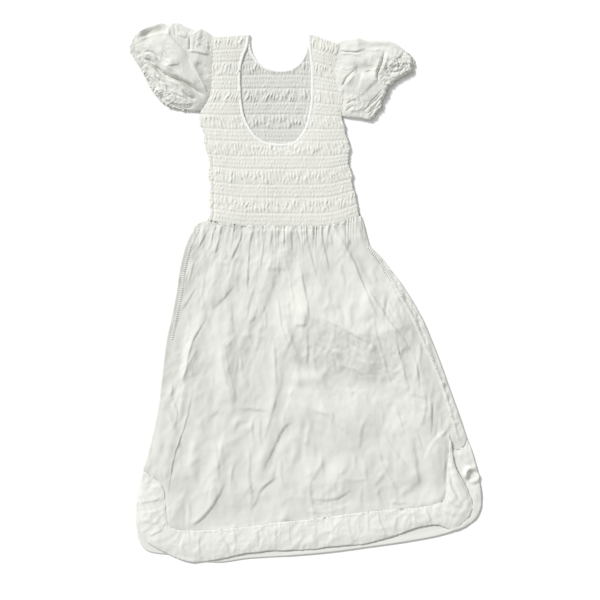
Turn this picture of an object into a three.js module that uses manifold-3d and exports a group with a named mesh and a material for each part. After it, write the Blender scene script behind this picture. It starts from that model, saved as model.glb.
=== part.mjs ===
// Peasant dress of thin white cotton, laid flat on a surface with its front up:
// a smocked bodice with a deep scooped neck, two puff sleeves, and a gathered skirt
// that ends in a deep band with rounded corners.
// Millimetres. +X is to the right seen from above, +Y towards the neck, +Z up.
// The origin is the middle of the footprint, on the surface that the dress lies on.
import * as THREE from "three";
import { mergeVertices } from "three/addons/utils/BufferGeometryUtils.js";
import Module from "manifold-3d";

const wasm = await Module();
wasm.setup();

// Driving dimensions
const wall = { single: 1.3, doubled: 2, smocked: 1.6 }; // cloth thicknesses
const seamGap = 0.3; // between pieces that are sewn together
const backSlack = 1.2; // the back panels stop this much further in, under the front
const smocking = { wideBand: 32, narrowBand: 26, bandPairs: 7, wideRise: 1.3, narrowRise: 0.6 };
const frontGathers = 32;
const backSmocking = { gathers: 18, from: -146, to: 22, low: 296 }; // what the neck shows of the back
const skirtColumns = 48;
const skirtSeamShares = [0, 0.035, 0.08, 0.13, 0.19, 0.27, 0.36, 0.46, 0.57, 0.68, 0.79, 0.9, 1];
const binding = { width: 5, stations: 44 };
const billow = { rise: 3.6, reach: 28 }; // how far the front stands off the back, away from the edges
const sleeveSize = { height: 21, cuffHeight: 9, armholeHeight: 4.2, elasticAt: 0.86 };

// Outline of the bodice: the armhole and side seam, a row for each height
const bodiceLeft = [
  { y: 150, x: -205 }, { y: 165, x: -201 }, { y: 200, x: -200 }, { y: 240, x: -201 },
  { y: 270, x: -202 }, { y: 290, x: -204 }, { y: 318, x: -211 }, { y: 345, x: -217 },
  { y: 372, x: -221 }, { y: 386, x: -218 }, { y: 400, x: -211 }, { y: 415, x: -204 },
  { y: 435, x: -200 }, { y: 460, x: -199 }, { y: 500, x: -197 }, { y: 536, x: -196 },
];
const bodiceRight = [
  { y: 161, x: 115 }, { y: 180, x: 110 }, { y: 200, x: 105 }, { y: 225, x: 100 },
  { y: 248, x: 96 }, { y: 265, x: 92 }, { y: 285, x: 91 }, { y: 305, x: 91 },
  { y: 322, x: 89 }, { y: 340, x: 84 }, { y: 356, x: 78 }, { y: 370, x: 76 },
  { y: 385, x: 79 }, { y: 405, x: 79 }, { y: 422, x: 75 }, { y: 442, x: 70 },
  { y: 462, x: 67 }, { y: 490, x: 67 }, { y: 521, x: 69 },
];
const underarm = { left: 380, right: 372 }; // heights where the armholes end
const waistSeam = [
  { x: -205, y: 150 }, { x: -180, y: 146 }, { x: -150, y: 142 }, { x: -110, y: 139 },
  { x: -60, y: 138 }, { x: 0, y: 138 }, { x: 40, y: 139 }, { x: 67, y: 143 },
  { x: 94, y: 153 }, { x: 115, y: 161 },
];
const shoulderLine = [
  { x: -196, y: 536 }, { x: -160, y: 538 }, { x: -122, y: 542 }, { x: -55, y: 544 },
  { x: 9, y: 542 }, { x: 40, y: 532 }, { x: 69, y: 521 },
];

// Middle lines of the two neck bindings, from shoulder to shoulder
const frontNeck = [
  { x: -120, y: 541 }, { x: -124, y: 516 }, { x: -132, y: 497 }, { x: -138, y: 472 },
  { x: -139, y: 446 }, { x: -138, y: 420 }, { x: -135, y: 392 }, { x: -130, y: 368 },
  { x: -119, y: 346 }, { x: -104, y: 326 }, { x: -84, y: 314 }, { x: -64, y: 310 },
  { x: -42, y: 310 }, { x: -23, y: 314 }, { x: -8, y: 328 }, { x: 2, y: 346 },
  { x: 8, y: 366 }, { x: 13, y: 390 }, { x: 15, y: 420 }, { x: 15, y: 458 },
  { x: 13, y: 486 }, { x: 10, y: 514 }, { x: 8, y: 541 },
];
const backNeck = [
  { x: -119, y: 541 }, { x: -119, y: 526 }, { x: -116, y: 508 }, { x: -107, y: 491 },
  { x: -94, y: 477 }, { x: -79, y: 469 }, { x: -64, y: 465 }, { x: -42, y: 465 },
  { x: -27, y: 469 }, { x: -12, y: 479 }, { x: -2, y: 494 }, { x: 4, y: 510 },
  { x: 6, y: 526 }, { x: 6, y: 541 },
];

// Skirt: left side seam, right side seam on the front, and the fold of the back to its right
const skirtLeft = [
  { x: -205, y: 150 }, { x: -218, y: 148 }, { x: -232, y: 138 }, { x: -241, y: 120 },
  { x: -250, y: 100 }, { x: -256, y: 80 }, { x: -262, y: 55 }, { x: -266, y: 30 },
  { x: -270, y: 0 }, { x: -280, y: -50 }, { x: -290, y: -95 }, { x: -296, y: -140 },
  { x: -303, y: -200 }, { x: -308, y: -240 }, { x: -315, y: -275 }, { x: -323, y: -310 },
  { x: -332, y: -345 }, { x: -341, y: -372 },
];
const skirtRightSeam = [
  { x: 115, y: 161 }, { x: 119, y: 142 }, { x: 124, y: 120 }, { x: 131, y: 99 },
  { x: 143, y: 82 }, { x: 154, y: 68 }, { x: 166, y: 50 }, { x: 180, y: 26 },
  { x: 200, y: -14 }, { x: 222, y: -56 }, { x: 245, y: -108 }, { x: 267, y: -155 },
  { x: 284, y: -200 }, { x: 295, y: -250 }, { x: 301, y: -285 }, { x: 303, y: -306 },
];
const skirtRightFold = [
  { x: 117, y: 161 }, { x: 124, y: 138 }, { x: 129, y: 118 }, { x: 136, y: 99 },
  { x: 153, y: 82 }, { x: 165, y: 68 }, { x: 178, y: 50 }, { x: 197, y: 26 },
  { x: 223, y: -14 }, { x: 246, y: -56 }, { x: 268, y: -108 }, { x: 286, y: -155 },
  { x: 302, y: -200 }, { x: 320, y: -250 }, { x: 332, y: -285 }, { x: 340, y: -306 },
];

// Hem bands: a row for each station from left to right, with the seam above and the hem below
const frontBand = [
  { seamX: -341, seamY: -372, hemX: -342, hemY: -381 }, { seamX: -325, seamY: -384, hemX: -350, hemY: -412 },
  { seamX: -308, seamY: -397, hemX: -355, hemY: -442 }, { seamX: -298, seamY: -415, hemX: -355, hemY: -468 },
  { seamX: -295, seamY: -440, hemX: -348, hemY: -495 }, { seamX: -293, seamY: -465, hemX: -333, hemY: -523 },
  { seamX: -288, seamY: -486, hemX: -305, hemY: -540 }, { seamX: -270, seamY: -498, hemX: -272, hemY: -556 },
  { seamX: -235, seamY: -500, hemX: -235, hemY: -566 }, { seamX: -180, seamY: -498, hemX: -182, hemY: -560 },
  { seamX: -120, seamY: -492, hemX: -122, hemY: -547 }, { seamX: -60, seamY: -483, hemX: -60, hemY: -541 },
  { seamX: 0, seamY: -478, hemX: 2, hemY: -540 }, { seamX: 60, seamY: -470, hemX: 64, hemY: -532 },
  { seamX: 120, seamY: -462, hemX: 126, hemY: -527 }, { seamX: 180, seamY: -456, hemX: 190, hemY: -509 },
  { seamX: 235, seamY: -451, hemX: 243, hemY: -491 }, { seamX: 270, seamY: -445, hemX: 279, hemY: -487 },
  { seamX: 289, seamY: -437, hemX: 308, hemY: -497 }, { seamX: 296, seamY: -424, hemX: 336, hemY: -480 },
  { seamX: 297, seamY: -402, hemX: 352, hemY: -450 }, { seamX: 298, seamY: -375, hemX: 338, hemY: -407 },
  { seamX: 300, seamY: -340, hemX: 314, hemY: -363 }, { seamX: 303, seamY: -306, hemX: 307, hemY: -316 },
];
const backBand = [
  { seamX: -341, seamY: -372, hemX: -342, hemY: -381 }, { seamX: -320, seamY: -388, hemX: -353, hemY: -430 },
  { seamX: -300, seamY: -415, hemX: -356, hemY: -478 }, { seamX: -297, seamY: -455, hemX: -349, hemY: -520 },
  { seamX: -290, seamY: -486, hemX: -334, hemY: -541 }, { seamX: -262, seamY: -502, hemX: -262, hemY: -552 },
  { seamX: -190, seamY: -505, hemX: -188, hemY: -566 }, { seamX: -120, seamY: -499, hemX: -120, hemY: -558 },
  { seamX: -40, seamY: -492, hemX: -40, hemY: -553 }, { seamX: 50, seamY: -482, hemX: 52, hemY: -545 },
  { seamX: 130, seamY: -473, hemX: 134, hemY: -534 }, { seamX: 210, seamY: -461, hemX: 218, hemY: -522 },
  { seamX: 270, seamY: -449, hemX: 292, hemY: -507 }, { seamX: 298, seamY: -436, hemX: 346, hemY: -486 },
  { seamX: 306, seamY: -408, hemX: 368, hemY: -458 }, { seamX: 310, seamY: -370, hemX: 367, hemY: -398 },
  { seamX: 318, seamY: -335, hemX: 356, hemY: -352 }, { seamX: 340, seamY: -306, hemX: 344, hemY: -316 },
];

// Outer edges of the sleeves, outwards from the shoulder and underarm ends of each armhole
const sleeveLeft = {
  crown: [
    { x: -200, y: 546 }, { x: -213, y: 554 }, { x: -232, y: 559 },
    { x: -255, y: 564 }, { x: -280, y: 566 }, { x: -305, y: 565 }, { x: -328, y: 558 },
    { x: -344, y: 551 }, { x: -352, y: 536 },
  ],
  cuff: [
    { x: -352, y: 536 }, { x: -366, y: 521 }, { x: -367, y: 506 }, { x: -353, y: 482 },
    { x: -339, y: 458 }, { x: -327, y: 434 }, { x: -311, y: 410 }, { x: -291, y: 394 },
    { x: -266, y: 386 }, { x: -245, y: 381 },
  ],
  underarm: [{ x: -232, y: 381 }, { x: -245, y: 381 }],
};
const sleeveRight = {
  crown: [
    { x: 75, y: 527 }, { x: 95, y: 531 }, { x: 112, y: 535 },
    { x: 140, y: 531 }, { x: 165, y: 529 }, { x: 188, y: 522 }, { x: 205, y: 511 },
    { x: 217, y: 500 },
  ],
  cuff: [
    { x: 217, y: 500 }, { x: 228, y: 484 }, { x: 227, y: 466 }, { x: 202, y: 456 },
    { x: 180, y: 442 }, { x: 165, y: 424 }, { x: 164, y: 398 }, { x: 152, y: 376 },
    { x: 136, y: 364 }, { x: 108, y: 368 },
  ],
  underarm: [{ x: 90, y: 369 }, { x: 108, y: 368 }],
};

// The largest folds. A fold runs from one end to the other, bowed sideways at its middle.
// Its height is positive for a ridge and negative for a trough.
const folds = [
  { fromX: 62, fromY: 128, toX: 152, toY: -56, bow: 6, width: 13, height: 3.4 },
  { fromX: 120, fromY: 22, toX: 224, toY: -74, bow: -6, width: 13, height: 2.6 },
  { fromX: 132, fromY: -30, toX: 178, toY: -212, bow: -4, width: 14, height: -2.6 },
  { fromX: 184, fromY: -90, toX: 222, toY: -236, bow: 4, width: 12, height: 2.2 },
  { fromX: -12, fromY: 62, toX: -4, toY: -66, bow: 5, width: 15, height: 3.6 },
  { fromX: -66, fromY: 60, toX: -120, toY: -66, bow: 5, width: 15, height: 3.2 },
  { fromX: -58, fromY: -2, toX: -18, toY: -144, bow: -3, width: 12, height: 2.8 },
  { fromX: -118, fromY: 126, toX: -150, toY: -104, bow: -6, width: 12, height: -2.4 },
  { fromX: -138, fromY: 26, toX: -206, toY: -40, bow: 9, width: 12, height: -2.8 },
  { fromX: -204, fromY: 62, toX: -262, toY: -40, bow: -3, width: 12, height: -2.2 },
  { fromX: -226, fromY: -66, toX: -294, toY: -392, bow: -6, width: 14, height: 2.8 },
  { fromX: -172, fromY: -104, toX: -150, toY: -240, bow: -4, width: 15, height: 3.4 },
  { fromX: -58, fromY: -152, toX: -104, toY: -430, bow: 6, width: 15, height: 3.6 },
  { fromX: -30, fromY: -276, toX: -112, toY: -452, bow: -8, width: 13, height: -2.6 },
  { fromX: 4, fromY: -152, toX: 176, toY: -196, bow: -8, width: 26, height: -2.8 },
  { fromX: -10, fromY: -240, toX: 104, toY: -320, bow: 16, width: 26, height: 2.4 },
  { fromX: -168, fromY: -278, toX: -246, toY: -480, bow: -5, width: 22, height: -2.6 },
  { fromX: 160, fromY: -290, toX: 222, toY: -374, bow: 2, width: 13, height: -2.4 },
  { fromX: 228, fromY: -292, toX: 246, toY: -446, bow: 2, width: 15, height: -2.8 },
  { fromX: 292, fromY: -300, toX: 272, toY: -430, bow: -6, width: 17, height: 2.8 },
];
// The sleeves' largest creases, in the same columns
const sleeveFolds = [
  { fromX: -318, fromY: 472, toX: -216, toY: 408, bow: 3, width: 11, height: -6 },
  { fromX: -300, fromY: 548, toX: -226, toY: 452, bow: 4, width: 12, height: 4 },
  { fromX: -238, fromY: 512, toX: -202, toY: 508, bow: 0, width: 9, height: 4 },
  { fromX: -290, fromY: 420, toX: -226, toY: 398, bow: 3, width: 10, height: 3 },
  { fromX: 72, fromY: 510, toX: 150, toY: 504, bow: 3, width: 9, height: -4 },
  { fromX: 84, fromY: 436, toX: 140, toY: 470, bow: 3, width: 12, height: 5 },
  { fromX: 166, fromY: 500, toX: 152, toY: 446, bow: 2, width: 10, height: -4 },
  { fromX: 92, fromY: 410, toX: 150, toY: 424, bow: 2, width: 11, height: 3 },
];
// Gathers that hang from the waist seam: place, length and sideways run of each, and its height
const waistGathers = [
  { at: -196, length: 60, run: -22, height: 1.6 }, { at: -178, length: 52, run: -12, height: 1.4 },
  { at: -160, length: 74, run: -14, height: 1.7 }, { at: -144, length: 50, run: -6, height: 1.3 },
  { at: -128, length: 92, run: -10, height: 1.7 }, { at: -112, length: 56, run: -5, height: 1.3 },
  { at: -97, length: 70, run: -4, height: 1.5 }, { at: -82, length: 44, run: -3, height: 1.2 },
  { at: -68, length: 62, run: -1, height: 1.5 }, { at: -53, length: 46, run: 0, height: 1.2 },
  { at: -38, length: 58, run: 1, height: 1.4 }, { at: -23, length: 66, run: 4, height: 1.6 },
  { at: -8, length: 48, run: 3, height: 1.3 }, { at: 7, length: 84, run: 9, height: 1.6 },
  { at: 22, length: 54, run: 7, height: 1.2 }, { at: 36, length: 96, run: 15, height: 1.6 },
  { at: 50, length: 60, run: 13, height: 1.4 }, { at: 64, length: 72, run: 22, height: 1.7 },
  { at: 78, length: 44, run: 15, height: 1.3 }, { at: 92, length: 58, run: 20, height: 1.5 },
  { at: 105, length: 40, run: 14, height: 1.2 },
];
const gatherWidth = 5; // half the width of a gather

const clamp01 = (t) => Math.min(1, Math.max(0, t));
const smooth = (t) => clamp01(t) ** 2 * (3 - 2 * clamp01(t));
const mix = (a, b, t) => a + (b - a) * t;

// A smooth plan curve through a table's rows, and its point at a share of its length
function planCurve(rows, xKey = "x", yKey = "y") {
  const curve = new THREE.CatmullRomCurve3(
    rows.map((row) => new THREE.Vector3(row[xKey], row[yKey], 0)),
    false,
    "centripetal",
  );
  curve.arcLengthDivisions = 600;
  return curve;
}
const alongLength = (curve) => (share) => curve.getPointAt(clamp01(share));
const alongRows = (curve) => (share) => curve.getPoint(clamp01(share));

// A straight-line path through points, by share of its length
function polyline(points) {
  const path = new THREE.CurvePath();
  for (let k = 1; k < points.length; k++) path.add(new THREE.LineCurve3(points[k - 1], points[k]));
  return (share) => path.getPoint(clamp01(share));
}

// The side of the bodice at a share of its height, read from its rows by height
function sideByHeight(rows) {
  const low = rows[0].y;
  const high = rows[rows.length - 1].y;
  const curve = planCurve(rows);
  const samples = curve.getPoints(rows.length * 16);
  return (share) => {
    const y = mix(low, high, share);
    const next = Math.max(1, samples.findIndex((p) => p.y >= y - 1e-6));
    const a = samples[next - 1];
    const b = samples[next];
    return new THREE.Vector3(mix(a.x, b.x, clamp01((y - a.y) / (b.y - a.y))), y, 0);
  };
}

// Plan point of a four-sided patch whose edges are given: u from left to right, v from start to end
function patch(start, end, left, right) {
  return (u, v) => {
    const point = new THREE.Vector3();
    const add = (p, weight) => point.addScaledVector(p, weight);
    add(start(u), 1 - v);
    add(end(u), v);
    add(left(v), 1 - u);
    add(right(v), u);
    add(start(0), -(1 - u) * (1 - v));
    add(start(1), -u * (1 - v));
    add(end(0), -(1 - u) * v);
    add(end(1), -u * v);
    return point;
  };
}

// A grid of plan points of a patch at the given shares, its edge drawn in by half a seam gap
function planGrid(place, uShares, vShares, drawIn = seamGap * 0.6) {
  const grid = vShares.map((v) => uShares.map((u) => place(u, v)));
  const last = vShares.length - 1;
  const end = uShares.length - 1;
  const pull = (point, inner) => {
    const step = inner.clone().sub(point);
    return point.clone().addScaledVector(step, drawIn / step.length());
  };
  return grid.map((row, i) =>
    row.map((point, j) => {
      let moved = point;
      if (i === 0) moved = pull(moved, grid[1][j]);
      if (i === last) moved = pull(moved, grid[last - 1][j]);
      if (j === 0) moved = pull(moved, row[1]);
      if (j === end) moved = pull(moved, row[end - 1]);
      return moved;
    }),
  );
}
const evenly = (count) => Array.from({ length: count + 1 }, (_, k) => k / count);
const withHeight = (grid, height) =>
  grid.map((row, i) => row.map((p, j) => new THREE.Vector3(p.x, p.y, height(p, i, j))));

// Height of a fold at a plan point
function foldHeight(fold, x, y) {
  const runX = fold.toX - fold.fromX;
  const runY = fold.toY - fold.fromY;
  const length = Math.hypot(runX, runY);
  const along = ((x - fold.fromX) * runX + (y - fold.fromY) * runY) / (length * length);
  const aside = ((x - fold.fromX) * -runY + (y - fold.fromY) * runX) / length;
  const bowed = aside - fold.bow * 4 * along * (1 - along);
  const taper = smooth((along + 0.15) / 0.35) * smooth((1.15 - along) / 0.35);
  return fold.height * taper * Math.exp(-((bowed / fold.width) ** 2));
}
const sumFolds = (table, x, y) => table.reduce((sum, fold) => sum + foldHeight(fold, x, y), 0);

// The front stands off the back most in the middle of the skirt, and thins towards the outline
const outline = [
  ...planCurve(bodiceLeft).getPoints(60).reverse(),
  ...planCurve(skirtLeft).getPoints(60),
  ...planCurve(backBand, "hemX", "hemY").getPoints(120),
  ...planCurve(skirtRightFold).getPoints(60).reverse(),
  ...planCurve(bodiceRight).getPoints(60),
  ...planCurve(shoulderLine).getPoints(30).reverse(),
];
function distanceToOutline(x, y) {
  let nearest = Infinity;
  for (let k = 0; k < outline.length; k++) {
    const a = outline[k];
    const b = outline[(k + 1) % outline.length];
    const lengthSquared = (b.x - a.x) ** 2 + (b.y - a.y) ** 2;
    const dot = (x - a.x) * (b.x - a.x) + (y - a.y) * (b.y - a.y);
    const t = lengthSquared ? clamp01(dot / lengthSquared) : 0;
    nearest = Math.min(nearest, Math.hypot(x - mix(a.x, b.x, t), y - mix(a.y, b.y, t)));
  }
  return nearest;
}
const backTop = (y) => mix(wall.single, wall.smocked + smocking.wideRise, smooth((y - 70) / 70));
const standOff = (x, y) => billow.rise * (1 - Math.exp(-distanceToOutline(x, y) / billow.reach));
// Underside of the front without its folds, and with them
const frontBase = (x, y) => backTop(y) + seamGap + standOff(x, y);
function frontUnder(x, y) {
  const nearWaist = 1 - smooth((y - 110) / 30);
  const folded = frontBase(x, y) + sumFolds(folds, x, y) * nearWaist;
  return Math.max(backTop(y) + seamGap, folded);
}
function gatherHeight(x, y, waistY) {
  return waistGathers.reduce((sum, gather) => {
    const down = (waistY - y) / gather.length;
    const aside = x - gather.at - gather.run * down;
    const fade = down < 0 ? 1 : Math.exp(-2 * down * down);
    return sum + gather.height * fade * Math.exp(-((aside / gatherWidth) ** 2));
  }, 0);
}

// Collects triangles over shared points
class Faces {
  constructor() {
    this.points = [];
    this.triangles = [];
  }
  addGrid(grid) {
    const start = this.points.length / 3;
    const columns = grid[0].length;
    grid.forEach((row) => row.forEach((p) => this.points.push(p.x, p.y, p.z)));
    return (i, j) => start + i * columns + (j % columns);
  }
  quad(a, b, c, d) {
    this.triangles.push(a, b, c, a, c, d);
  }
  // Turns the faces out if they point in, and makes the geometry
  geometry() {
    const at = (k) => new THREE.Vector3().fromArray(this.points, 3 * k);
    let volume = 0;
    for (let k = 0; k < this.triangles.length; k += 3) {
      const [a, b, c] = this.triangles.slice(k, k + 3).map(at);
      volume += a.dot(b.cross(c));
    }
    if (volume < 0) this.triangles.reverse();
    const geometry = new THREE.BufferGeometry();
    geometry.setAttribute("position", new THREE.Float32BufferAttribute(this.points, 3));
    geometry.setIndex(this.triangles);
    return geometry;
  }
}

// A closed wall between two grids of the same size. A ringed wall joins its last column to its first.
function wallBetween(upper, lower, ringed = false) {
  const faces = new Faces();
  const top = faces.addGrid(upper);
  const under = faces.addGrid(lower);
  const rows = upper.length - 1;
  const columns = upper[0].length - (ringed ? 0 : 1);
  for (let i = 0; i < rows; i++)
    for (let j = 0; j < columns; j++) {
      faces.quad(top(i, j), top(i, j + 1), top(i + 1, j + 1), top(i + 1, j));
      faces.quad(under(i, j), under(i + 1, j), under(i + 1, j + 1), under(i, j + 1));
    }
  for (let j = 0; j < columns; j++) {
    faces.quad(top(0, j + 1), top(0, j), under(0, j), under(0, j + 1));
    faces.quad(top(rows, j), top(rows, j + 1), under(rows, j + 1), under(rows, j));
  }
  if (!ringed)
    for (let i = 0; i < rows; i++) {
      faces.quad(top(i, 0), top(i + 1, 0), under(i + 1, 0), under(i, 0));
      faces.quad(top(i + 1, columns), top(i, columns), under(i, columns), under(i + 1, columns));
    }
  return faces.geometry();
}

// The border of a grid, in order round it, with each point's place on a square's perimeter from 0 to 4
function borderOf(index, rows, columns) {
  const loop = [];
  for (let j = 0; j < columns; j++) loop.push({ id: index(0, j), place: j / columns });
  for (let i = 0; i < rows; i++) loop.push({ id: index(i, columns), place: 1 + i / rows });
  for (let j = columns; j > 0; j--) loop.push({ id: index(rows, j), place: 3 - j / columns });
  for (let i = rows; i > 0; i--) loop.push({ id: index(i, 0), place: 4 - i / rows });
  return loop;
}

// A closed panel with a fine upper face over a plain underside of fewer faces.
// Both share the plan of the edge; the underside's inner points are every few of the upper ones.
function panelOver(upper, under, stride) {
  const faces = new Faces();
  const rows = upper.length - 1;
  const columns = upper[0].length - 1;
  const top = faces.addGrid(upper);
  for (let i = 0; i < rows; i++)
    for (let j = 0; j < columns; j++)
      faces.quad(top(i, j), top(i, j + 1), top(i + 1, j + 1), top(i + 1, j));
  const lower = faces.addGrid(withHeight(upper, under));
  const edge = borderOf(lower, rows, columns);
  const rim = borderOf(top, rows, columns);
  edge.forEach((_, k) => {
    const next = (k + 1) % edge.length;
    faces.quad(rim[next].id, rim[k].id, edge[k].id, edge[next].id);
  });
  const picked = (count) => {
    const steps = Math.round((count - 2) / stride);
    return Array.from({ length: steps + 1 }, (_, k) => 1 + Math.round((k * (count - 2)) / steps));
  };
  const rowPick = picked(rows);
  const columnPick = picked(columns);
  const inner = (i, j) => lower(rowPick[i], columnPick[j]);
  const innerRows = rowPick.length - 1;
  const innerColumns = columnPick.length - 1;
  for (let i = 0; i < innerRows; i++)
    for (let j = 0; j < innerColumns; j++)
      faces.quad(inner(i, j), inner(i + 1, j), inner(i + 1, j + 1), inner(i, j + 1));
  const loop = borderOf(inner, innerRows, innerColumns);
  let a = 0;
  let b = 0;
  while (a < edge.length || b < loop.length) {
    const edgeNext = edge[(a + 1) % edge.length];
    const loopNext = loop[(b + 1) % loop.length];
    const edgePlace = a + 1 < edge.length ? edgeNext.place : 4;
    const loopPlace = b + 1 < loop.length ? loopNext.place : 4;
    const here = [edge[a % edge.length].id, loop[b % loop.length].id];
    if (b >= loop.length || (a < edge.length && edgePlace <= loopPlace)) {
      faces.triangles.push(here[0], here[1], edgeNext.id);
      a++;
    } else {
      faces.triangles.push(here[0], here[1], loopNext.id);
      b++;
    }
  }
  return faces.geometry();
}

// Joins and cuts
function solidOf(geometry) {
  const bare = new THREE.BufferGeometry();
  bare.setAttribute("position", geometry.getAttribute("position"));
  if (geometry.index) bare.setIndex(geometry.index);
  const merged = mergeVertices(bare, 1e-3);
  return new wasm.Manifold(
    new wasm.Mesh({
      numProp: 3,
      vertProperties: merged.attributes.position.array,
      triVerts: new Uint32Array(merged.index.array),
    }),
  );
}
function geometryOf(solid) {
  const mesh = solid.getMesh();
  const geometry = new THREE.BufferGeometry();
  geometry.setAttribute("position", new THREE.BufferAttribute(mesh.vertProperties, 3));
  geometry.setIndex(new THREE.BufferAttribute(mesh.triVerts, 1));
  return geometry;
}

// A line beside a plan curve: positive is to the left of its run
function besideCurve(curve, aside, count) {
  return evenly(count).map((share) => {
    const point = curve.getPointAt(share);
    const run = curve.getTangentAt(share);
    return new THREE.Vector2(point.x - run.y * aside, point.y + run.x * aside);
  });
}
// Cuts a neck opening through a panel, clear of its binding
function cutNeck(geometry, neckRows) {
  const aside = -(binding.width / 2 + seamGap);
  const edge = besideCurve(planCurve(neckRows), aside, binding.stations);
  const beyond = 40;
  const first = edge[0];
  const last = edge[edge.length - 1];
  const shape = new THREE.Shape([
    new THREE.Vector2(first.x, first.y + beyond),
    ...edge,
    new THREE.Vector2(last.x, last.y + beyond),
  ]);
  const cutter = new THREE.ExtrudeGeometry(shape, { depth: 60, bevelEnabled: false });
  cutter.translate(0, 0, -20);
  return geometryOf(solidOf(geometry).subtract(solidOf(cutter)));
}

// Bodice rows: a line of shirring at each band's edge, and the band's fullest line between
const bandLines = [];
for (let pair = 0; pair < smocking.bandPairs; pair++)
  for (const kind of ["narrow", "wide"]) {
    const size = smocking[kind + "Band"];
    const from = bandLines.length ? bandLines[bandLines.length - 1].to : 0;
    bandLines.push({ from, to: from + size, rise: smocking[kind + "Rise"] });
  }
const bodiceHeight = bandLines[bandLines.length - 1].to;
const bodiceRows = [
  { share: 0, rise: 0 },
  ...bandLines.flatMap((band) => [
    { share: (band.from + band.to) / 2 / bodiceHeight, rise: band.rise },
    { share: band.to / bodiceHeight, rise: 0 },
  ]),
];
const shirringRise = 0.25; // gathers left at a line of shirring
const bodicePlace = patch(
  alongLength(planCurve(waistSeam)),
  alongLength(planCurve(shoulderLine)),
  sideByHeight(bodiceLeft),
  sideByHeight(bodiceRight),
);
const bodiceColumns = evenly(2 * frontGathers);
const bodicePlan = planGrid(bodicePlace, bodiceColumns, bodiceRows.map((row) => row.share));

function bodiceFront() {
  const upper = withHeight(bodicePlan, (p, i, j) => {
    const edge = j === 0 || j === bodiceColumns.length - 1;
    const rise = j % 2 && !edge ? shirringRise + bodiceRows[i].rise : 0;
    return frontBase(p.x, p.y) + wall.smocked + rise;
  });
  return cutNeck(panelOver(upper, (p) => frontBase(p.x, p.y), 5), frontNeck);
}

// The back is plain but for the part that the front neck shows
function bodiceBack() {
  const middle = evenly(2 * backSmocking.gathers).map((t) => mix(backSmocking.from, backSmocking.to, t));
  const width = (x) => (x - bodiceLeft[0].x) / (bodiceRight[0].x - bodiceLeft[0].x);
  const shares = [0, 0.045, 0.09, ...middle.map(width), 0.83, 0.9, 0.95, 1];
  const plain = [0, 0.13, 0.26].map((share) => ({ share, rise: 0 }));
  const low = (backSmocking.low - waistSeam[5].y) / bodiceHeight;
  const rows = [...plain, ...bodiceRows.filter((row) => row.share > low)];
  const plan = planGrid(bodicePlace, shares, rows.map((row) => row.share), backSlack);
  const upper = withHeight(plan, (p, i, j) => {
    const shown = j > 3 && j < shares.length - 4 && j % 2 === 0;
    return wall.smocked + (shown ? shirringRise + rows[i].rise : 0);
  });
  return cutNeck(panelOver(upper, () => 0, 6), backNeck);
}

// A binding with rounded edges along a neckline, between two heights
function neckBinding(neckRows, low, high) {
  const curve = planCurve(neckRows);
  const half = binding.width / 2;
  const section = [
    { aside: -half, up: 0.3 }, { aside: -half * 0.6, up: 0 }, { aside: half * 0.6, up: 0 },
    { aside: half, up: 0.3 }, { aside: half, up: 0.7 }, { aside: half * 0.6, up: 1 },
    { aside: -half * 0.6, up: 1 }, { aside: -half, up: 0.7 },
  ];
  const rings = evenly(binding.stations).map((share) => {
    const point = curve.getPointAt(share);
    const run = curve.getTangentAt(share);
    return section.map(({ aside, up }) => {
      const x = point.x - run.y * aside;
      const y = point.y + run.x * aside;
      return new THREE.Vector3(x, y, mix(low(point.x, point.y), high(point.x, point.y), up));
    });
  });
  const faces = new Faces();
  const index = faces.addGrid(rings);
  const count = section.length;
  for (let i = 0; i < binding.stations; i++)
    for (let j = 0; j < count; j++)
      faces.quad(index(i, j), index(i, j + 1), index(i + 1, j + 1), index(i + 1, j));
  for (let j = 1; j < count - 1; j++) {
    faces.triangles.push(index(0, 0), index(0, j + 1), index(0, j));
    const end = binding.stations;
    faces.triangles.push(index(end, 0), index(end, j), index(end, j + 1));
  }
  return faces.geometry();
}

// Skirt front, from the waist seam to the band's seam
const frontBandSeam = alongLength(planCurve(frontBand, "seamX", "seamY"));
const waistLine = polyline(bodiceColumns.map((u) => bodicePlace(u, 0)));
const skirtShares = evenly(skirtColumns);
// Side seams run straight between the rows that the front and back share.
// The front has one more row between each two of these.
const sideLine = (rows) => {
  const curve = planCurve(rows);
  const points = skirtSeamShares.map((share) => curve.getPointAt(share));
  return (share) => {
    const next = Math.max(1, skirtSeamShares.findIndex((row) => row >= share));
    const [from, to] = [skirtSeamShares[next - 1], skirtSeamShares[next]];
    return points[next - 1].clone().lerp(points[next], (share - from) / (to - from));
  };
};
const skirtRows = skirtSeamShares.flatMap((row, k) => (k ? [(row + skirtSeamShares[k - 1]) / 2, row] : row));
const skirtFrontPlace = patch(waistLine, frontBandSeam, sideLine(skirtLeft), sideLine(skirtRightSeam));
function skirtFront() {
  const plan = planGrid(skirtFrontPlace, skirtShares, skirtRows);
  const upper = withHeight(plan, (p, i, j) => {
    const waistY = plan[0][j].y;
    return frontUnder(p.x, p.y) + wall.single + gatherHeight(p.x, p.y, waistY);
  });
  return wallThinned(upper, plan);
}
// The underside follows the folds but not the gathers, and stays a wall's thickness below the face
function wallThinned(upper, plan) {
  const heightAt = new Map();
  plan.forEach((row, i) =>
    row.forEach((p, j) => {
      let lowest = Infinity;
      for (const [di, dj] of [[0, 0], [1, 0], [-1, 0], [0, 1], [0, -1]]) {
        const near = upper[i + di]?.[j + dj];
        if (near) lowest = Math.min(lowest, near.z);
      }
      const floor = backTop(p.y) + seamGap;
      heightAt.set(`${p.x},${p.y}`, Math.max(floor, Math.min(lowest - 1, frontUnder(p.x, p.y))));
    }),
  );
  return panelOver(upper, (p) => heightAt.get(`${p.x},${p.y}`), 2);
}

const backStations = 2 * (backBand.length - 1); // two for each row of its table
const backBandSeam = alongRows(planCurve(backBand, "seamX", "seamY"));

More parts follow.
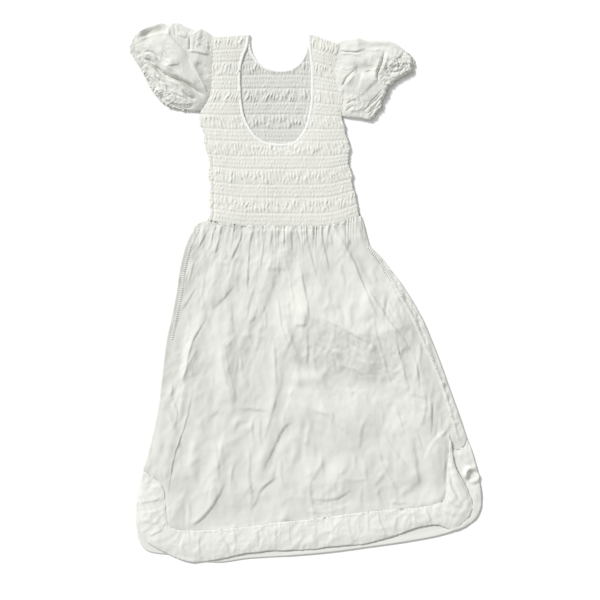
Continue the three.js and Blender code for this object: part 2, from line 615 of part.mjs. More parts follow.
// Skirt back: flat under the front, folded over at the right edge and brought back to the side seam.
// Its section has a lower leaf and an upper leaf, joined at the fold.
function skirtBack() {
  const seamAt = sideLine(skirtRightSeam);
  const foldAt = sideLine(skirtRightFold);
  const place = patch(waistLine, backBandSeam, sideLine(skirtLeft), foldAt);
  const plan = planGrid(place, evenly(backStations), skirtSeamShares, backSlack);
  const outer = [];
  const inner = [];
  plan.forEach((row, i) => {
    const v = skirtSeamShares[i];
    const fold = row[row.length - 1];
    const seam = seamAt(v);
    const back = fold.clone().sub(seam);
    const width = back.length();
    const step = back.clone().divideScalar(width);
    const nearSeam = seam.clone().addScaledVector(step, seamGap * 0.7);
    nearSeam.y = i === 0 ? fold.y : nearSeam.y;
    const leaf = [fold, fold.clone().lerp(nearSeam, 0.5), nearSeam];
    const lift = (p) => Math.max(wall.single + seamGap, frontUnder(p.x, p.y));
    const turnIn = Math.min(1.2, width * 0.3);
    const shifted = (p, k) => (k === 0 ? p.clone().addScaledVector(step, -turnIn) : p);
    outer.push([
      ...row.map((p) => new THREE.Vector3(p.x, p.y, 0)),
      ...leaf.map((p) => new THREE.Vector3(p.x, p.y, lift(p) + wall.single)),
    ]);
    inner.push([
      ...row.map((p, k) => {
        const q = k === row.length - 1 ? shifted(p, 0) : p;
        return new THREE.Vector3(q.x, q.y, wall.single);
      }),
      ...leaf.map((p, k) => {
        const q = shifted(p, k);
        return new THREE.Vector3(q.x, q.y, lift(p));
      }),
    ]);
  });
  return wallBetween(inner, outer);
}

// A hem band from its seam to its hem.
// A share of the seam's length is turned into a share of its table's rows.
function bandPlan(table, rowShare, stations, across, drawIn) {
  const seam = alongRows(planCurve(table, "seamX", "seamY"));
  const hem = alongRows(planCurve(table, "hemX", "hemY"));
  const place = (u, v) => seam(rowShare(u)).clone().lerp(hem(rowShare(u)), v);
  return planGrid(place, evenly(stations), evenly(across), drawIn);
}
const bandPuff = 0.9; // how far the doubled cloth swells between its seam and its hem
function hemBandFront() {
  const seam = planCurve(frontBand, "seamX", "seamY");
  const rowShare = (share) => seam.getUtoTmapping(share);
  const plan = bandPlan(frontBand, rowShare, skirtColumns, 3, seamGap * 0.6);
  const swell = (i) => (i === 1 || i === 2 ? bandPuff : 0);
  const under = withHeight(plan, (p) => frontUnder(p.x, p.y));
  const upper = withHeight(plan, (p, i) => frontUnder(p.x, p.y) + wall.doubled + swell(i));
  return wallBetween(upper, under);
}
function hemBandBack() {
  const plan = bandPlan(backBand, (share) => share, backStations, 2, backSlack);
  const under = withHeight(plan, () => 0);
  const upper = withHeight(plan, () => wall.single);
  return wallBetween(upper, under);
}

// A puff sleeve: a flattened tube from the armhole to the gathered cuff.
// Each ring has an upper leaf from crown to underarm and a flat lower leaf back again.
function sleeve(shape, armhole) {
  const waves = 13;
  const upperShares = evenly(2 * waves);
  const lowerShares = [1, 0.93, 0.85, 0.7, 0.5, 0.3, 0.15, 0];
  const rows = [0, 0.06, 0.16, 0.28, 0.42, 0.56, 0.7, sleeveSize.elasticAt, 0.93, 1];
  const place = patch(
    alongLength(planCurve([armhole(0), ...shape.crown])),
    alongLength(planCurve([armhole(1), ...shape.underarm])),
    armhole,
    alongLength(planCurve(shape.cuff)),
  );
  const planOf = (shares) => planGrid((t, s) => place(s, t), shares, rows, seamGap);
  const upperPlan = planOf(upperShares);
  const lowerPlan = planOf(lowerShares);
  const puff = (s) => {
    if (s > sleeveSize.elasticAt) return sleeveSize.cuffHeight;
    const swell = Math.sin(Math.PI * clamp01(s / sleeveSize.elasticAt)) ** 0.7;
    const ends = mix(sleeveSize.armholeHeight, sleeveSize.cuffHeight, s);
    return ends + (sleeveSize.height - ends) * swell;
  };
  const edgeHeight = wall.single + seamGap;
  const under = (p, s, t) => {
    const dome = Math.sqrt(Math.sin(Math.PI * clamp01(t)));
    const creased = sumFolds(sleeveFolds, p.x, p.y) * smooth(s / 0.1) * dome;
    return Math.max(edgeHeight, edgeHeight + (puff(s) - edgeHeight) * dome + creased);
  };
  const gathered = (s, j) => {
    if (j % 2 === 0 || j === 2 * waves) return 0;
    const cap = 1.4 * Math.exp(-((s / 0.2) ** 2));
    const cuff = 1.7 * smooth((s - 0.5) / 0.4);
    return Math.max(cap, cuff);
  };
  const middle = (grid, i) => grid[i][Math.floor(grid[i].length / 2)];
  const inset = (p, i, grid) => {
    const step = middle(grid, i).clone().sub(p);
    return p.clone().addScaledVector(step.normalize(), wall.single);
  };
  const outer = [];
  const inner = [];
  rows.forEach((s, i) => {
    const upperRow = upperPlan[i];
    const lowerRow = lowerPlan[i];
    outer.push([
      ...upperRow.map((p, j) => {
        const top = under(p, s, upperShares[j]) + wall.single + gathered(s, j);
        return new THREE.Vector3(p.x, p.y, top);
      }),
      ...lowerRow.map((p) => new THREE.Vector3(p.x, p.y, 0)),
    ]);
    inner.push([
      ...upperRow.map((p, j) => {
        const q = j === 0 || j === upperRow.length - 1 ? inset(p, i, upperPlan) : p;
        return new THREE.Vector3(q.x, q.y, under(p, s, upperShares[j]));
      }),
      ...lowerRow.map((p, j) => {
        const q = j === 0 || j === lowerRow.length - 1 ? inset(p, i, lowerPlan) : p;
        return new THREE.Vector3(q.x, q.y, wall.single);
      }),
    ]);
  });
  return wallBetween(outer, inner, true);
}
// The armhole as the bodice's own edge has it, from the shoulder down to the underarm
function armholeEdge(column, lowest) {
  const edge = bodicePlan.map((row) => row[column]);
  const above = edge.findIndex((p) => p.y > lowest);
  const share = (lowest - edge[above - 1].y) / (edge[above].y - edge[above - 1].y);
  const end = edge[above - 1].clone().lerp(edge[above], share);
  return polyline([end, ...edge.slice(above)].reverse());
}

const whiteCotton = (shade) =>
  new THREE.MeshStandardMaterial({ color: shade, roughness: 0.9, metalness: 0, side: THREE.FrontSide });

const dress = new THREE.Group();
function addPiece(name, geometry, shade) {
  const piece = new THREE.Mesh(geometry, whiteCotton(shade));
  piece.name = name;
  dress.add(piece);
}
const lastColumn = bodiceColumns.length - 1;
const backNeckHigh = () => wall.smocked + smocking.wideRise;
addPiece("bodice_back", bodiceBack(), 0xdedfd8);
addPiece("bodice_front", bodiceFront(), 0xe8e9e2);
addPiece("neck_binding_back", neckBinding(backNeck, () => 0.2, backNeckHigh), 0xf0f0ec);
addPiece("neck_binding_front", neckBinding(frontNeck, frontBase, (x, y) => frontBase(x, y) + 3), 0xf4f4f0);
addPiece("sleeve_left", sleeve(sleeveLeft, armholeEdge(0, underarm.left)), 0xe9eae4);
addPiece("sleeve_right", sleeve(sleeveRight, armholeEdge(lastColumn, underarm.right)), 0xe9eae4);
addPiece("skirt_back", skirtBack(), 0xe2e3dc);
addPiece("skirt_front", skirtFront(), 0xe4e5de);
addPiece("hem_band_back", hemBandBack(), 0xe9eae4);
addPiece("hem_band_front", hemBandFront(), 0xeff0ea);

export default dress;
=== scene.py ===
import math
import bpy
import numpy as np
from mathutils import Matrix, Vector
from mathutils.kdtree import KDTree


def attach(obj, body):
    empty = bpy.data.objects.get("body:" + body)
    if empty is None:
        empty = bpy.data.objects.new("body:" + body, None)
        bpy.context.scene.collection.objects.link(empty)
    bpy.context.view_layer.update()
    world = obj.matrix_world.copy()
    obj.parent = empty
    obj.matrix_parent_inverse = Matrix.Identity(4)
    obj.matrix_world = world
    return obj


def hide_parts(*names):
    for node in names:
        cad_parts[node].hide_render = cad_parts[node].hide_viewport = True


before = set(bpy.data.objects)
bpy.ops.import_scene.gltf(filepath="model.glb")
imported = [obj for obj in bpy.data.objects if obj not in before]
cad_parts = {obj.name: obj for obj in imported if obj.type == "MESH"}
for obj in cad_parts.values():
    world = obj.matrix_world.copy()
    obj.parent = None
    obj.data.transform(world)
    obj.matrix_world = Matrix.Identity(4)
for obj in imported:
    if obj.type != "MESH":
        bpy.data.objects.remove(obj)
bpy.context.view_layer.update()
mm = 0.001

# A white cotton peasant dress laid flat, front up. Lengths are in millimetres in the part's frame,
# x to the right, y towards the neck, z up. Meshes are turned into metres when they are made.

cloth = dict(single=0.5, doubled=1.1, smocked=0.6)  # how thick the shells are
wall = dict(single=1.3, smocked=1.6, relief=1.3, smockedFrom=70, smockedRun=70)  # the solids under them
seamGap = 0.3
billow = dict(rise=3.6, reach=28)  # how far the front stands off the back, away from the edges
neckSink = dict(share=0.92, reach=20)  # how it sinks onto the back round the neckline
steps = dict(outline=60, shoulder=30, line=6, side=4, band=24, neck=8, neckInside=10)  # points on a curve

# Outlines of the sewn pieces

outline = dict(
    bodiceLeft=[(-205, 150), (-201, 165), (-200, 200), (-201, 240), (-202, 270), (-204, 290),
                (-211, 318), (-217, 345), (-221, 372), (-218, 386), (-211, 400), (-204, 415),
                (-200, 435), (-199, 460), (-197, 500), (-196, 536)],
    bodiceRight=[(115, 161), (110, 180), (105, 200), (100, 225), (96, 248), (92, 265), (91, 285),
                 (91, 305), (89, 322), (84, 340), (78, 356), (76, 370), (79, 385), (79, 405),
                 (75, 422), (70, 442), (67, 462), (67, 490), (69, 521)],
    waist=[(-205, 150), (-180, 146), (-150, 142), (-110, 139), (-60, 138), (0, 138), (40, 139),
           (67, 143), (94, 153), (115, 161)],
    shoulder=[(-196, 536), (-160, 538), (-122, 542), (-55, 544), (9, 542), (40, 532), (69, 521)],
    skirtLeft=[(-205, 150), (-218, 148), (-232, 138), (-241, 120), (-250, 100), (-256, 80),
               (-262, 55), (-266, 30), (-270, 0), (-280, -50), (-290, -95), (-296, -140),
               (-303, -200), (-308, -240), (-315, -275), (-323, -310), (-332, -345), (-341, -372)],
    skirtSeam=[(115, 161), (119, 142), (124, 120), (131, 99), (143, 82), (154, 68), (166, 50),
               (180, 26), (200, -14), (222, -56), (245, -108), (267, -155), (284, -200),
               (295, -250), (301, -285), (303, -306)],
    skirtFold=[(117, 161), (124, 138), (129, 118), (136, 99), (153, 82), (165, 68), (178, 50),
               (197, 26), (223, -14), (246, -56), (268, -108), (286, -155), (302, -200),
               (320, -250), (332, -285), (340, -306)],
)
neckline = dict(
    front=[(-120, 541), (-124, 516), (-132, 497), (-138, 472), (-139, 446), (-138, 420),
           (-135, 392), (-130, 368), (-119, 346), (-104, 326), (-84, 314), (-64, 310), (-42, 310),
           (-23, 314), (-8, 328), (2, 346), (8, 366), (13, 390), (15, 420), (15, 458), (13, 486),
           (10, 514), (8, 541)],
    back=[(-119, 541), (-119, 526), (-116, 508), (-107, 491), (-94, 477), (-79, 469), (-64, 465),
          (-42, 465), (-27, 469), (-12, 479), (-2, 494), (4, 510), (6, 526), (6, 541)],
)
# Each row of a band is seam x, seam y, hem x, hem y, from the left side round to the right
band = dict(
    front=[(-341, -372, -342, -381), (-325, -384, -350, -412), (-308, -397, -355, -442),
           (-298, -415, -355, -468), (-295, -440, -348, -495), (-293, -465, -333, -523),
           (-288, -486, -305, -540), (-270, -498, -272, -556), (-235, -500, -235, -566),
           (-180, -498, -182, -560), (-120, -492, -122, -547), (-60, -483, -60, -541),
           (0, -478, 2, -540), (60, -470, 64, -532), (120, -462, 126, -527), (180, -456, 190, -509),
           (235, -451, 243, -491), (270, -445, 279, -487), (289, -437, 308, -497),
           (296, -424, 336, -480), (297, -402, 352, -450), (298, -375, 338, -407),
           (300, -340, 314, -363), (303, -306, 307, -316)],
    back=[(-341, -372, -342, -381), (-320, -388, -353, -430), (-300, -415, -356, -478),
          (-297, -455, -349, -520), (-290, -486, -334, -541), (-262, -502, -262, -552),
          (-190, -505, -188, -566), (-120, -499, -120, -558), (-40, -492, -40, -553),
          (50, -482, 52, -545), (130, -473, 134, -534), (210, -461, 218, -522),
          (270, -449, 292, -507), (298, -436, 346, -486), (306, -408, 368, -458),
          (310, -370, 367, -398), (318, -335, 356, -352), (340, -306, 344, -316)],
)


# Curves and patches

def splinePoints(points, steps=20):
    p = np.asarray(points, float)
    q = np.vstack([2 * p[0] - p[1], p, 2 * p[-1] - p[-2]])
    out = []
    for k in range(1, len(q) - 2):
        p0, p1, p2, p3 = q[k - 1:k + 3]
        t0 = 0.0
        t1 = t0 + math.sqrt(np.linalg.norm(p1 - p0))
        t2 = t1 + math.sqrt(np.linalg.norm(p2 - p1))
        t3 = t2 + math.sqrt(np.linalg.norm(p3 - p2))
        t = np.linspace(t1, t2, steps, endpoint=False)[:, None]
        a1 = ((t1 - t) * p0 + (t - t0) * p1) / (t1 - t0)
        a2 = ((t2 - t) * p1 + (t - t1) * p2) / (t2 - t1)
        a3 = ((t3 - t) * p2 + (t - t2) * p3) / (t3 - t2)
        b1 = ((t2 - t) * a1 + (t - t0) * a2) / (t2 - t0)
        b2 = ((t3 - t) * a2 + (t - t1) * a3) / (t3 - t1)
        out.append(((t2 - t) * b1 + (t - t1) * b2) / (t2 - t1))
    return np.vstack(out + [p[-1:]])


def alongLength(points):
    dense = splinePoints(points)
    run = np.concatenate([[0], np.cumsum(np.linalg.norm(np.diff(dense, axis=0), axis=1))])
    return lambda share: np.stack(
        [np.interp(np.asarray(share) * run[-1], run, dense[:, k]) for k in (0, 1)], axis=-1)


def alongHeight(points):  # by share of the height, for the bodice's sides
    dense = splinePoints(points)
    low, high = points[0][1], points[-1][1]

    def at(share):
        y = low + (high - low) * np.asarray(share, float)
        return np.stack([np.interp(y, dense[:, 1], dense[:, 0]), y], axis=-1)
    return at


def patch(start, end, left, right, u, v):
    s, e = start(u), end(u)
    l, r = left(v), right(v)
    uu, vv = u[None, :, None], v[:, None, None]
    sides = s[None] * (1 - vv) + e[None] * vv + l[:, None] * (1 - uu) + r[:, None] * uu
    ends = np.array([0.0, 1.0])
    s0, s1 = start(ends)
    e0, e1 = end(ends)
    corners = s0 * (1 - uu) * (1 - vv) + s1 * uu * (1 - vv) + e0 * (1 - uu) * vv + e1 * uu * vv
    plan = sides - corners
    return plan[..., 0], plan[..., 1]


def smooth(t):
    t = np.clip(t, 0, 1)
    return t * t * (3 - 2 * t)


def mix(a, b, t):
    return a + (b - a) * t


def bell(distance, width):
    return np.exp(-(distance / width) ** 2)


def atLeast(least, share):
    return least + (1 - least) * share


# Noise, all of it from fixed seeds

def randomAt(ix, iy, seed):  # 0 to 1 for each lattice point
    h = ix * 374761393 + iy * 668265263 + seed * 974634777
    h = (h ^ (h >> 13)) * 1274126177 & 0x7FFFFFFF
    return (h & 0xFFFF) / 65536


def latticeNoise(x, y, size, seed):
    gx, gy = x / size, y / size
    ix, iy = np.floor(gx).astype(np.int64), np.floor(gy).astype(np.int64)
    fx, fy = gx - ix, gy - iy

    def corner(a, b):
        angle = randomAt(ix + a, iy + b, seed) * 2 * math.pi
        return np.cos(angle) * (fx - a) + np.sin(angle) * (fy - b)
    wx = fx ** 3 * (fx * (fx * 6 - 15) + 10)
    wy = fy ** 3 * (fy * (fy * 6 - 15) + 10)
    low = mix(corner(0, 0), corner(1, 0), wx)
    high = mix(corner(0, 1), corner(1, 1), wx)
    return mix(low, high, wy)


noiseBend = dict(facets=1.1, facetSize=1.9, creases=0.8, creaseSize=1.7)  # how the grids are bent
secondNoise = dict(share=0.8, size=1.3, shift=(31.7, -12.3))  # the troughs, beside the ridges
triangleSkew = 0.366


def facets(x, y, size, seed, stretch=1.0, turn=0.0):  # flat triangles that meet at creases
    c, s = math.cos(turn), math.sin(turn)
    bend, bendSize = noiseBend["facets"], size * noiseBend["facetSize"]
    a = (x * c + y * s) / stretch / size + bend * latticeNoise(x, y, bendSize, seed + 50)
    b = (y * c - x * s) / size + bend * latticeNoise(x, y, bendSize, seed + 51)
    skew = triangleSkew * (a + b)
    i, j = np.floor(a + skew).astype(np.int64), np.floor(b + skew).astype(np.int64)
    fa, fb = a + skew - i, b + skew - j
    near, far = randomAt(i, j, seed), randomAt(i + 1, j + 1, seed)
    right, above = randomAt(i + 1, j, seed), randomAt(i, j + 1, seed)
    lower = near + (right - near) * fa + (far - right) * fb
    upper = near + (above - near) * fb + (far - above) * fa
    return 2 * np.where(fa > fb, lower, upper) - 1


def crumple(x, y, size, seed, stretch=1.0, turn=0.0):  # creased ridges and troughs
    c, s = math.cos(turn), math.sin(turn)
    along, across = x * c + y * s, -x * s + y * c
    bend, bendSize = size * noiseBend["creases"], size * noiseBend["creaseSize"]
    wx = along / stretch + bend * latticeNoise(x, y, bendSize, seed + 50)
    wy = across + bend * latticeNoise(x, y, bendSize, seed + 51)
    shiftX, shiftY = secondNoise["shift"]
    ridge = -np.abs(latticeNoise(wx, wy, size, seed))
    trough = np.abs(latticeNoise(wx + shiftX, wy + shiftY, size * secondNoise["size"], seed + 7))
    return ridge + secondNoise["share"] * trough


# Tables of noise. A row of crumples is size, height, stretch, turn and seed, a row for drift is
# size, seed and amount, and a row for vary is size, seed, middle, spread, least and most.

def crumples(x, y, rows, seed=0, turn=0.0):
    total = np.zeros(np.broadcast(x, y).shape)
    for size, height, stretch, rowTurn, rowSeed in rows:
        total += height * crumple(x, y, size, seed + rowSeed, stretch, turn + rowTurn)
    return total


def drift(x, y, row, seed=0):
    size, rowSeed, amount = row
    return amount * latticeNoise(x, y, size, seed + rowSeed)


def vary(x, y, row, seed=0):
    size, rowSeed, middle, spread, least, most = row
    return np.clip(middle + spread * latticeNoise(x, y, size, seed + rowSeed), least, most)


def waves(distance, pitch=1):
    return np.cos(2 * math.pi * distance / pitch)


def puffed(phase, power):
    return (0.5 + 0.5 * waves(phase)) ** power


# Folds. A row is kind, width, height and the path of its crest.
# lap drops steeply on its lower right side, turn on its upper left; the others are even.
# ridge has straight flanks as far out as its width, for the broad planes.
# pleat is a lap that starts at full height, at a seam.

foldShape = dict(
    edge=1.5, steepness=0.7, tallest=4.2,  # the steep side, and the limit that heights near
    dip=0.15, dipWidth=2.8,  # the trough at its foot
    gentle=2.0, sharp=0.7, ridgePower=1.1,  # the other flanks
    ends=0.26, pleatStart=0.03,  # share of the length over which a fold dies out
    waver=1.3, waverSize=17, fineShare=0.4, fineSize=7,  # how its path wanders
    evenPart=0.85, unevenPart=0.7, unevenSize=30, broad=12,  # its height varies unless it is broad
    reach=5,  # how many widths out a row is worked out
)


def nearestOnPath(p, x, y):  # distance, side of the path and share of its length
    best = np.full(x.shape, np.inf)
    side = np.zeros_like(x)
    share = np.zeros_like(x)
    lengths = np.linalg.norm(np.diff(p, axis=0), axis=1)
    whole = lengths.sum()
    done = 0.0
    for k, length in enumerate(lengths):
        ax, ay = p[k]
        rx, ry = (p[k + 1] - p[k]) / length
        t = np.clip((x - ax) * rx + (y - ay) * ry, 0, length)
        dx, dy = x - ax - rx * t, y - ay - ry * t
        d2 = dx * dx + dy * dy
        closer = d2 < best
        best = np.where(closer, d2, best)
        side = np.where(closer, np.sign(rx * dy - ry * dx), side)
        share = np.where(closer, (done + t) / whole, share)
        done += length
    return np.sqrt(best), side, share


def foldSection(kind, width, height, distance, lowerRight):
    form = foldShape
    if kind == "soft":
        return height * bell(distance, width)
    if kind == "sharp":
        return height * np.exp(-distance / (form["sharp"] * width))
    if kind == "ridge":
        return height * np.clip(1 - distance / width, 0, None) ** form["ridgePower"]
    height = form["tallest"] * math.tanh(height / form["tallest"])
    steep = ~lowerRight if kind == "turn" else lowerRight
    cliff = max(form["steepness"] * height, form["edge"])
    fall = (1 + form["dip"]) * bell(distance, cliff) - form["dip"] * bell(distance, form["dipWidth"] * cliff)
    return height * np.where(steep, fall, np.exp(-distance / (form["gentle"] * width)))


def foldField(x, y, folds):
    form = foldShape
    uneven = form["evenPart"] + form["unevenPart"] * latticeNoise(x, y, form["unevenSize"], 903)

    def waver(seed, fineSeed):
        fine = form["fineShare"] * latticeNoise(x, y, form["fineSize"], fineSeed)
        return form["waver"] * (latticeNoise(x, y, form["waverSize"], seed) + fine)
    px, py = x + waver(901, 904), y + waver(902, 905)
    total = np.zeros_like(x)
    for kind, width, height, path in folds:
        p = splinePoints(path, steps["line"]) if len(path) > 2 else np.asarray(path, float)
        reach = form["reach"] * width
        near = ((px > p[:, 0].min() - reach) & (px < p[:, 0].max() + reach)
                & (py > p[:, 1].min() - reach) & (py < p[:, 1].max() + reach))
        if not near.any():
            continue
        distance, side, share = nearestOnPath(p, px[near], py[near])
        runsDown = 1 if p[0].sum() > p[-1].sum() else -1
        section = foldSection(kind, width, height, distance, side * runsDown > 0)
        start = form["pleatStart"] if kind == "pleat" else form["ends"]
        taper = smooth(share / start) * smooth((1 - share) / form["ends"])
        total[near] += section * taper * (1 if width > form["broad"] else uneven[near])
    return total


# How high the front stands off the back

outlineRing = np.vstack([
    alongHeight(outline["bodiceLeft"])(np.linspace(1, 0, steps["outline"])),
    alongLength(outline["skirtLeft"])(np.linspace(0, 1, steps["outline"])),
    splinePoints([(r[2], r[3]) for r in band["back"]], steps["line"]),
    alongLength(outline["skirtFold"])(np.linspace(1, 0, steps["outline"])),
    alongHeight(outline["bodiceRight"])(np.linspace(0, 1, steps["outline"])),
    alongLength(outline["shoulder"])(np.linspace(1, 0, steps["shoulder"])),
])


def distanceTo(ring, x, y, closed=True):
    best = np.full(x.shape, np.inf)
    last = len(ring) if closed else len(ring) - 1
    for k in range(last):
        a, b = ring[k], ring[(k + 1) % len(ring)]
        run = b - a
        l2 = max(float(run @ run), 1e-9)
        t = np.clip(((x - a[0]) * run[0] + (y - a[1]) * run[1]) / l2, 0, 1)
        best = np.minimum(best, np.hypot(x - a[0] - run[0] * t, y - a[1] - run[1] * t))
    return best


def backTop(y):
    smocked = smooth((y - wall["smockedFrom"]) / wall["smockedRun"])
    return mix(wall["single"], wall["smocked"] + wall["relief"], smocked)


def frontBase(x, y):
    inward = 1 - np.exp(-distanceTo(outlineRing, x, y) / billow["reach"])
    return backTop(y) + seamGap + billow["rise"] * inward


neckRing = splinePoints(neckline["front"], steps["neck"])


def frontSeat(x, y):  # the bodice front sinks onto the back round the neckline
    low = backTop(y) + seamGap
    sunk = neckSink["share"] * np.exp(-distanceTo(neckRing, x, y, closed=False) / neckSink["reach"])
    return low + (frontBase(x, y) - low) * (1 - sunk)


# Meshes

def gridNormals(p, ringed):
    du = np.empty_like(p)
    du[:, 1:-1] = p[:, 2:] - p[:, :-2]
    if ringed:
        du[:, 0], du[:, -1] = p[:, 1] - p[:, -1], p[:, 0] - p[:, -2]
    else:
        du[:, 0], du[:, -1] = p[:, 1] - p[:, 0], p[:, -1] - p[:, -2]
    dv = np.gradient(p, axis=0)
    n = np.cross(du, dv)
    return n / np.maximum(np.linalg.norm(n, axis=2, keepdims=True), 1e-9)


def shell(name, p, thickness, material, keep=None, ringed=False, outward=1):
    rows, cols = p.shape[:2]
    normals = gridNormals(p, ringed) * outward
    inner = p - normals * thickness
    count = rows * cols
    verts = np.vstack([p.reshape(-1, 3), inner.reshape(-1, 3)]) * mm
    across = cols if ringed else cols - 1
    if keep is None:
        keep = np.ones((rows - 1, across), bool)
    i, j = np.nonzero(keep)
    k = (j + 1) % cols
    a, b, c, d = i * cols + j, i * cols + k, (i + 1) * cols + k, (i + 1) * cols + j
    top = np.stack([a, b, c, d], 1)
    faces = [top, top[:, ::-1] + count]
    padded = np.zeros((rows + 1, across + 2), bool)
    padded[1:-1, 1:-1] = keep
    if ringed:
        padded[1:-1, 0], padded[1:-1, -1] = keep[:, -1], keep[:, 0]
    for di, dj, s, e in ((-1, 0, a, b), (0, 1, b, c), (1, 0, c, d), (0, -1, d, a)):
        bare = ~padded[i + 1 + di, j + 1 + dj]
        faces.append(np.stack([e[bare], s[bare], s[bare] + count, e[bare] + count], 1))
    faces = np.vstack(faces)
    if outward < 0:
        faces = faces[:, ::-1]
    used = np.unique(faces)
    remap = np.full(len(verts), -1)
    remap[used] = np.arange(len(used))
    return addMesh(name, verts[used], remap[faces], material)


def addMesh(name, verts, faces, material):
    mesh = bpy.data.meshes.new(name)
    sides = faces.shape[1]
    mesh.vertices.add(len(verts))
    mesh.vertices.foreach_set("co", np.asarray(verts, np.float32).ravel())
    mesh.loops.add(faces.size)
    mesh.loops.foreach_set("vertex_index", faces.astype(np.int32).ravel())
    mesh.polygons.add(len(faces))
    mesh.polygons.foreach_set("loop_start", np.arange(0, faces.size, sides, dtype=np.int32))
    mesh.polygons.foreach_set("use_smooth", np.ones(len(faces), bool))
    mesh.update(calc_edges=True)
    mesh.validate()
    mesh.materials.append(material)
    piece = bpy.data.objects.new(name, mesh)
    bpy.context.scene.collection.objects.link(piece)
    return piece


# Materials

fabric = dict(  # sizes and depths in metres
    weavePitch=0.00042, weaveDepth=0.00018, weaveStrength=0.35, threadWander=0.6,
    slubSize=0.012, slubDetail=5.0, slubShare=0.45,
    sheen=0.12, sheenRoughness=0.5, specular=0.25,
    tintScale=9, tintDetail=4.0, tintFrom=0.3, tintTo=0.7, threadTint=0.25,
    creaseScale=34, creaseDetail=3.0, creaseWander=0.6, creaseDepth=0.004,
    creaseStretch=(1.0, 0.55, 1.0), creaseTurn=0.35,
)
waveUnit = 0.314  # how long a wave is at scale 1


def cottonMaterial(name, colour, tint, creased=0.0, roughness=0.88, weave=1.0):
    material = bpy.data.materials.new(name)
    material.use_nodes = True
    nodes, links = material.node_tree.nodes, material.node_tree.links
    shader = nodes["Principled BSDF"]
    shader.inputs["Roughness"].default_value = roughness
    shader.inputs["Sheen Weight"].default_value = fabric["sheen"]
    shader.inputs["Sheen Roughness"].default_value = fabric["sheenRoughness"]
    shader.inputs["Specular IOR Level"].default_value = fabric["specular"]
    place = nodes.new("ShaderNodeTexCoord").outputs["Object"]

    def wave(direction, pitch):
        node = nodes.new("ShaderNodeTexWave")
        node.bands_direction = direction
        node.inputs["Scale"].default_value = waveUnit / pitch
        node.inputs["Distortion"].default_value = fabric["threadWander"]
        links.new(place, node.inputs["Vector"])
        return node.outputs["Fac"]

    def noise(scale, detail):
        node = nodes.new("ShaderNodeTexNoise")
        node.inputs["Scale"].default_value = scale
        node.inputs["Detail"].default_value = detail
        links.new(place, node.inputs["Vector"])
        return node.outputs["Fac"]

    def blend(a, b, share=0.5):
        node = nodes.new("ShaderNodeMix")
        node.data_type = "FLOAT"
        node.inputs[0].default_value = share
        links.new(a, node.inputs[2])
        links.new(b, node.inputs[3])
        return node.outputs[0]

    def bump(height, depth, strength):
        node = nodes.new("ShaderNodeBump")
        node.inputs["Strength"].default_value = strength
        node.inputs["Distance"].default_value = depth
        links.new(height, node.inputs["Height"])
        return node
    threads = blend(wave("X", fabric["weavePitch"]), wave("Y", fabric["weavePitch"]))
    slubs = noise(1 / fabric["slubSize"], fabric["slubDetail"])
    relief = blend(threads, slubs, fabric["slubShare"])
    surface = bump(relief, fabric["weaveDepth"], fabric["weaveStrength"] * weave)
    if creased:
        turned = nodes.new("ShaderNodeMapping")
        turned.inputs["Scale"].default_value = fabric["creaseStretch"]
        turned.inputs["Rotation"].default_value = (0, 0, fabric["creaseTurn"])
        links.new(place, turned.inputs["Vector"])
        lines = nodes.new("ShaderNodeTexNoise")
        lines.noise_type = "RIDGED_MULTIFRACTAL"
        lines.inputs["Scale"].default_value = fabric["creaseScale"]
        lines.inputs["Detail"].default_value = fabric["creaseDetail"]
        lines.inputs["Distortion"].default_value = fabric["creaseWander"]
        links.new(turned.outputs["Vector"], lines.inputs["Vector"])
        creases = bump(lines.outputs["Fac"], fabric["creaseDepth"] * creased, 1.0)
        links.new(creases.outputs["Normal"], surface.inputs["Normal"])
    links.new(surface.outputs["Normal"], shader.inputs["Normal"])
    ramp = nodes.new("ShaderNodeValToRGB")
    ramp.color_ramp.elements[0].position = fabric["tintFrom"]
    ramp.color_ramp.elements[1].position = fabric["tintTo"]
    ramp.color_ramp.elements[0].color = (*tint, 1)
    ramp.color_ramp.elements[1].color = (*colour, 1)
    patches = noise(fabric["tintScale"], fabric["tintDetail"])
    links.new(blend(patches, threads, fabric["threadTint"]), ramp.inputs["Fac"])
    links.new(ramp.outputs["Color"], shader.inputs["Base Color"])
    return material


cottonWhite = cottonMaterial("thinCotton", (0.672, 0.673, 0.632), (0.638, 0.641, 0.599), creased=1.0)
smockedWhite = cottonMaterial("smockedCotton", (0.712, 0.713, 0.664), (0.678, 0.679, 0.632))
# the back's wrong side, seen inside the neckline: its darker grey is painted shade for the hollow under the
# front's edge
insidePaintedShadeWhite = cottonMaterial("cottonWrongSidePaintedShade", (0.648, 0.649, 0.615), (0.61, 0.612, 0.58))
doubledWhite = cottonMaterial("doubledCotton", (0.725, 0.726, 0.688), (0.69, 0.693, 0.656))
bindingWhite = cottonMaterial("biasBinding", (0.82, 0.82, 0.80), (0.78, 0.78, 0.76))
threadWhite = cottonMaterial("sewingThread", (0.86, 0.86, 0.83), (0.80, 0.80, 0.77),
                             roughness=0.6, weave=0.4)
print("materials made")

# The skirt's largest folds, as the solids have them: from, to, sideways bow, width and height

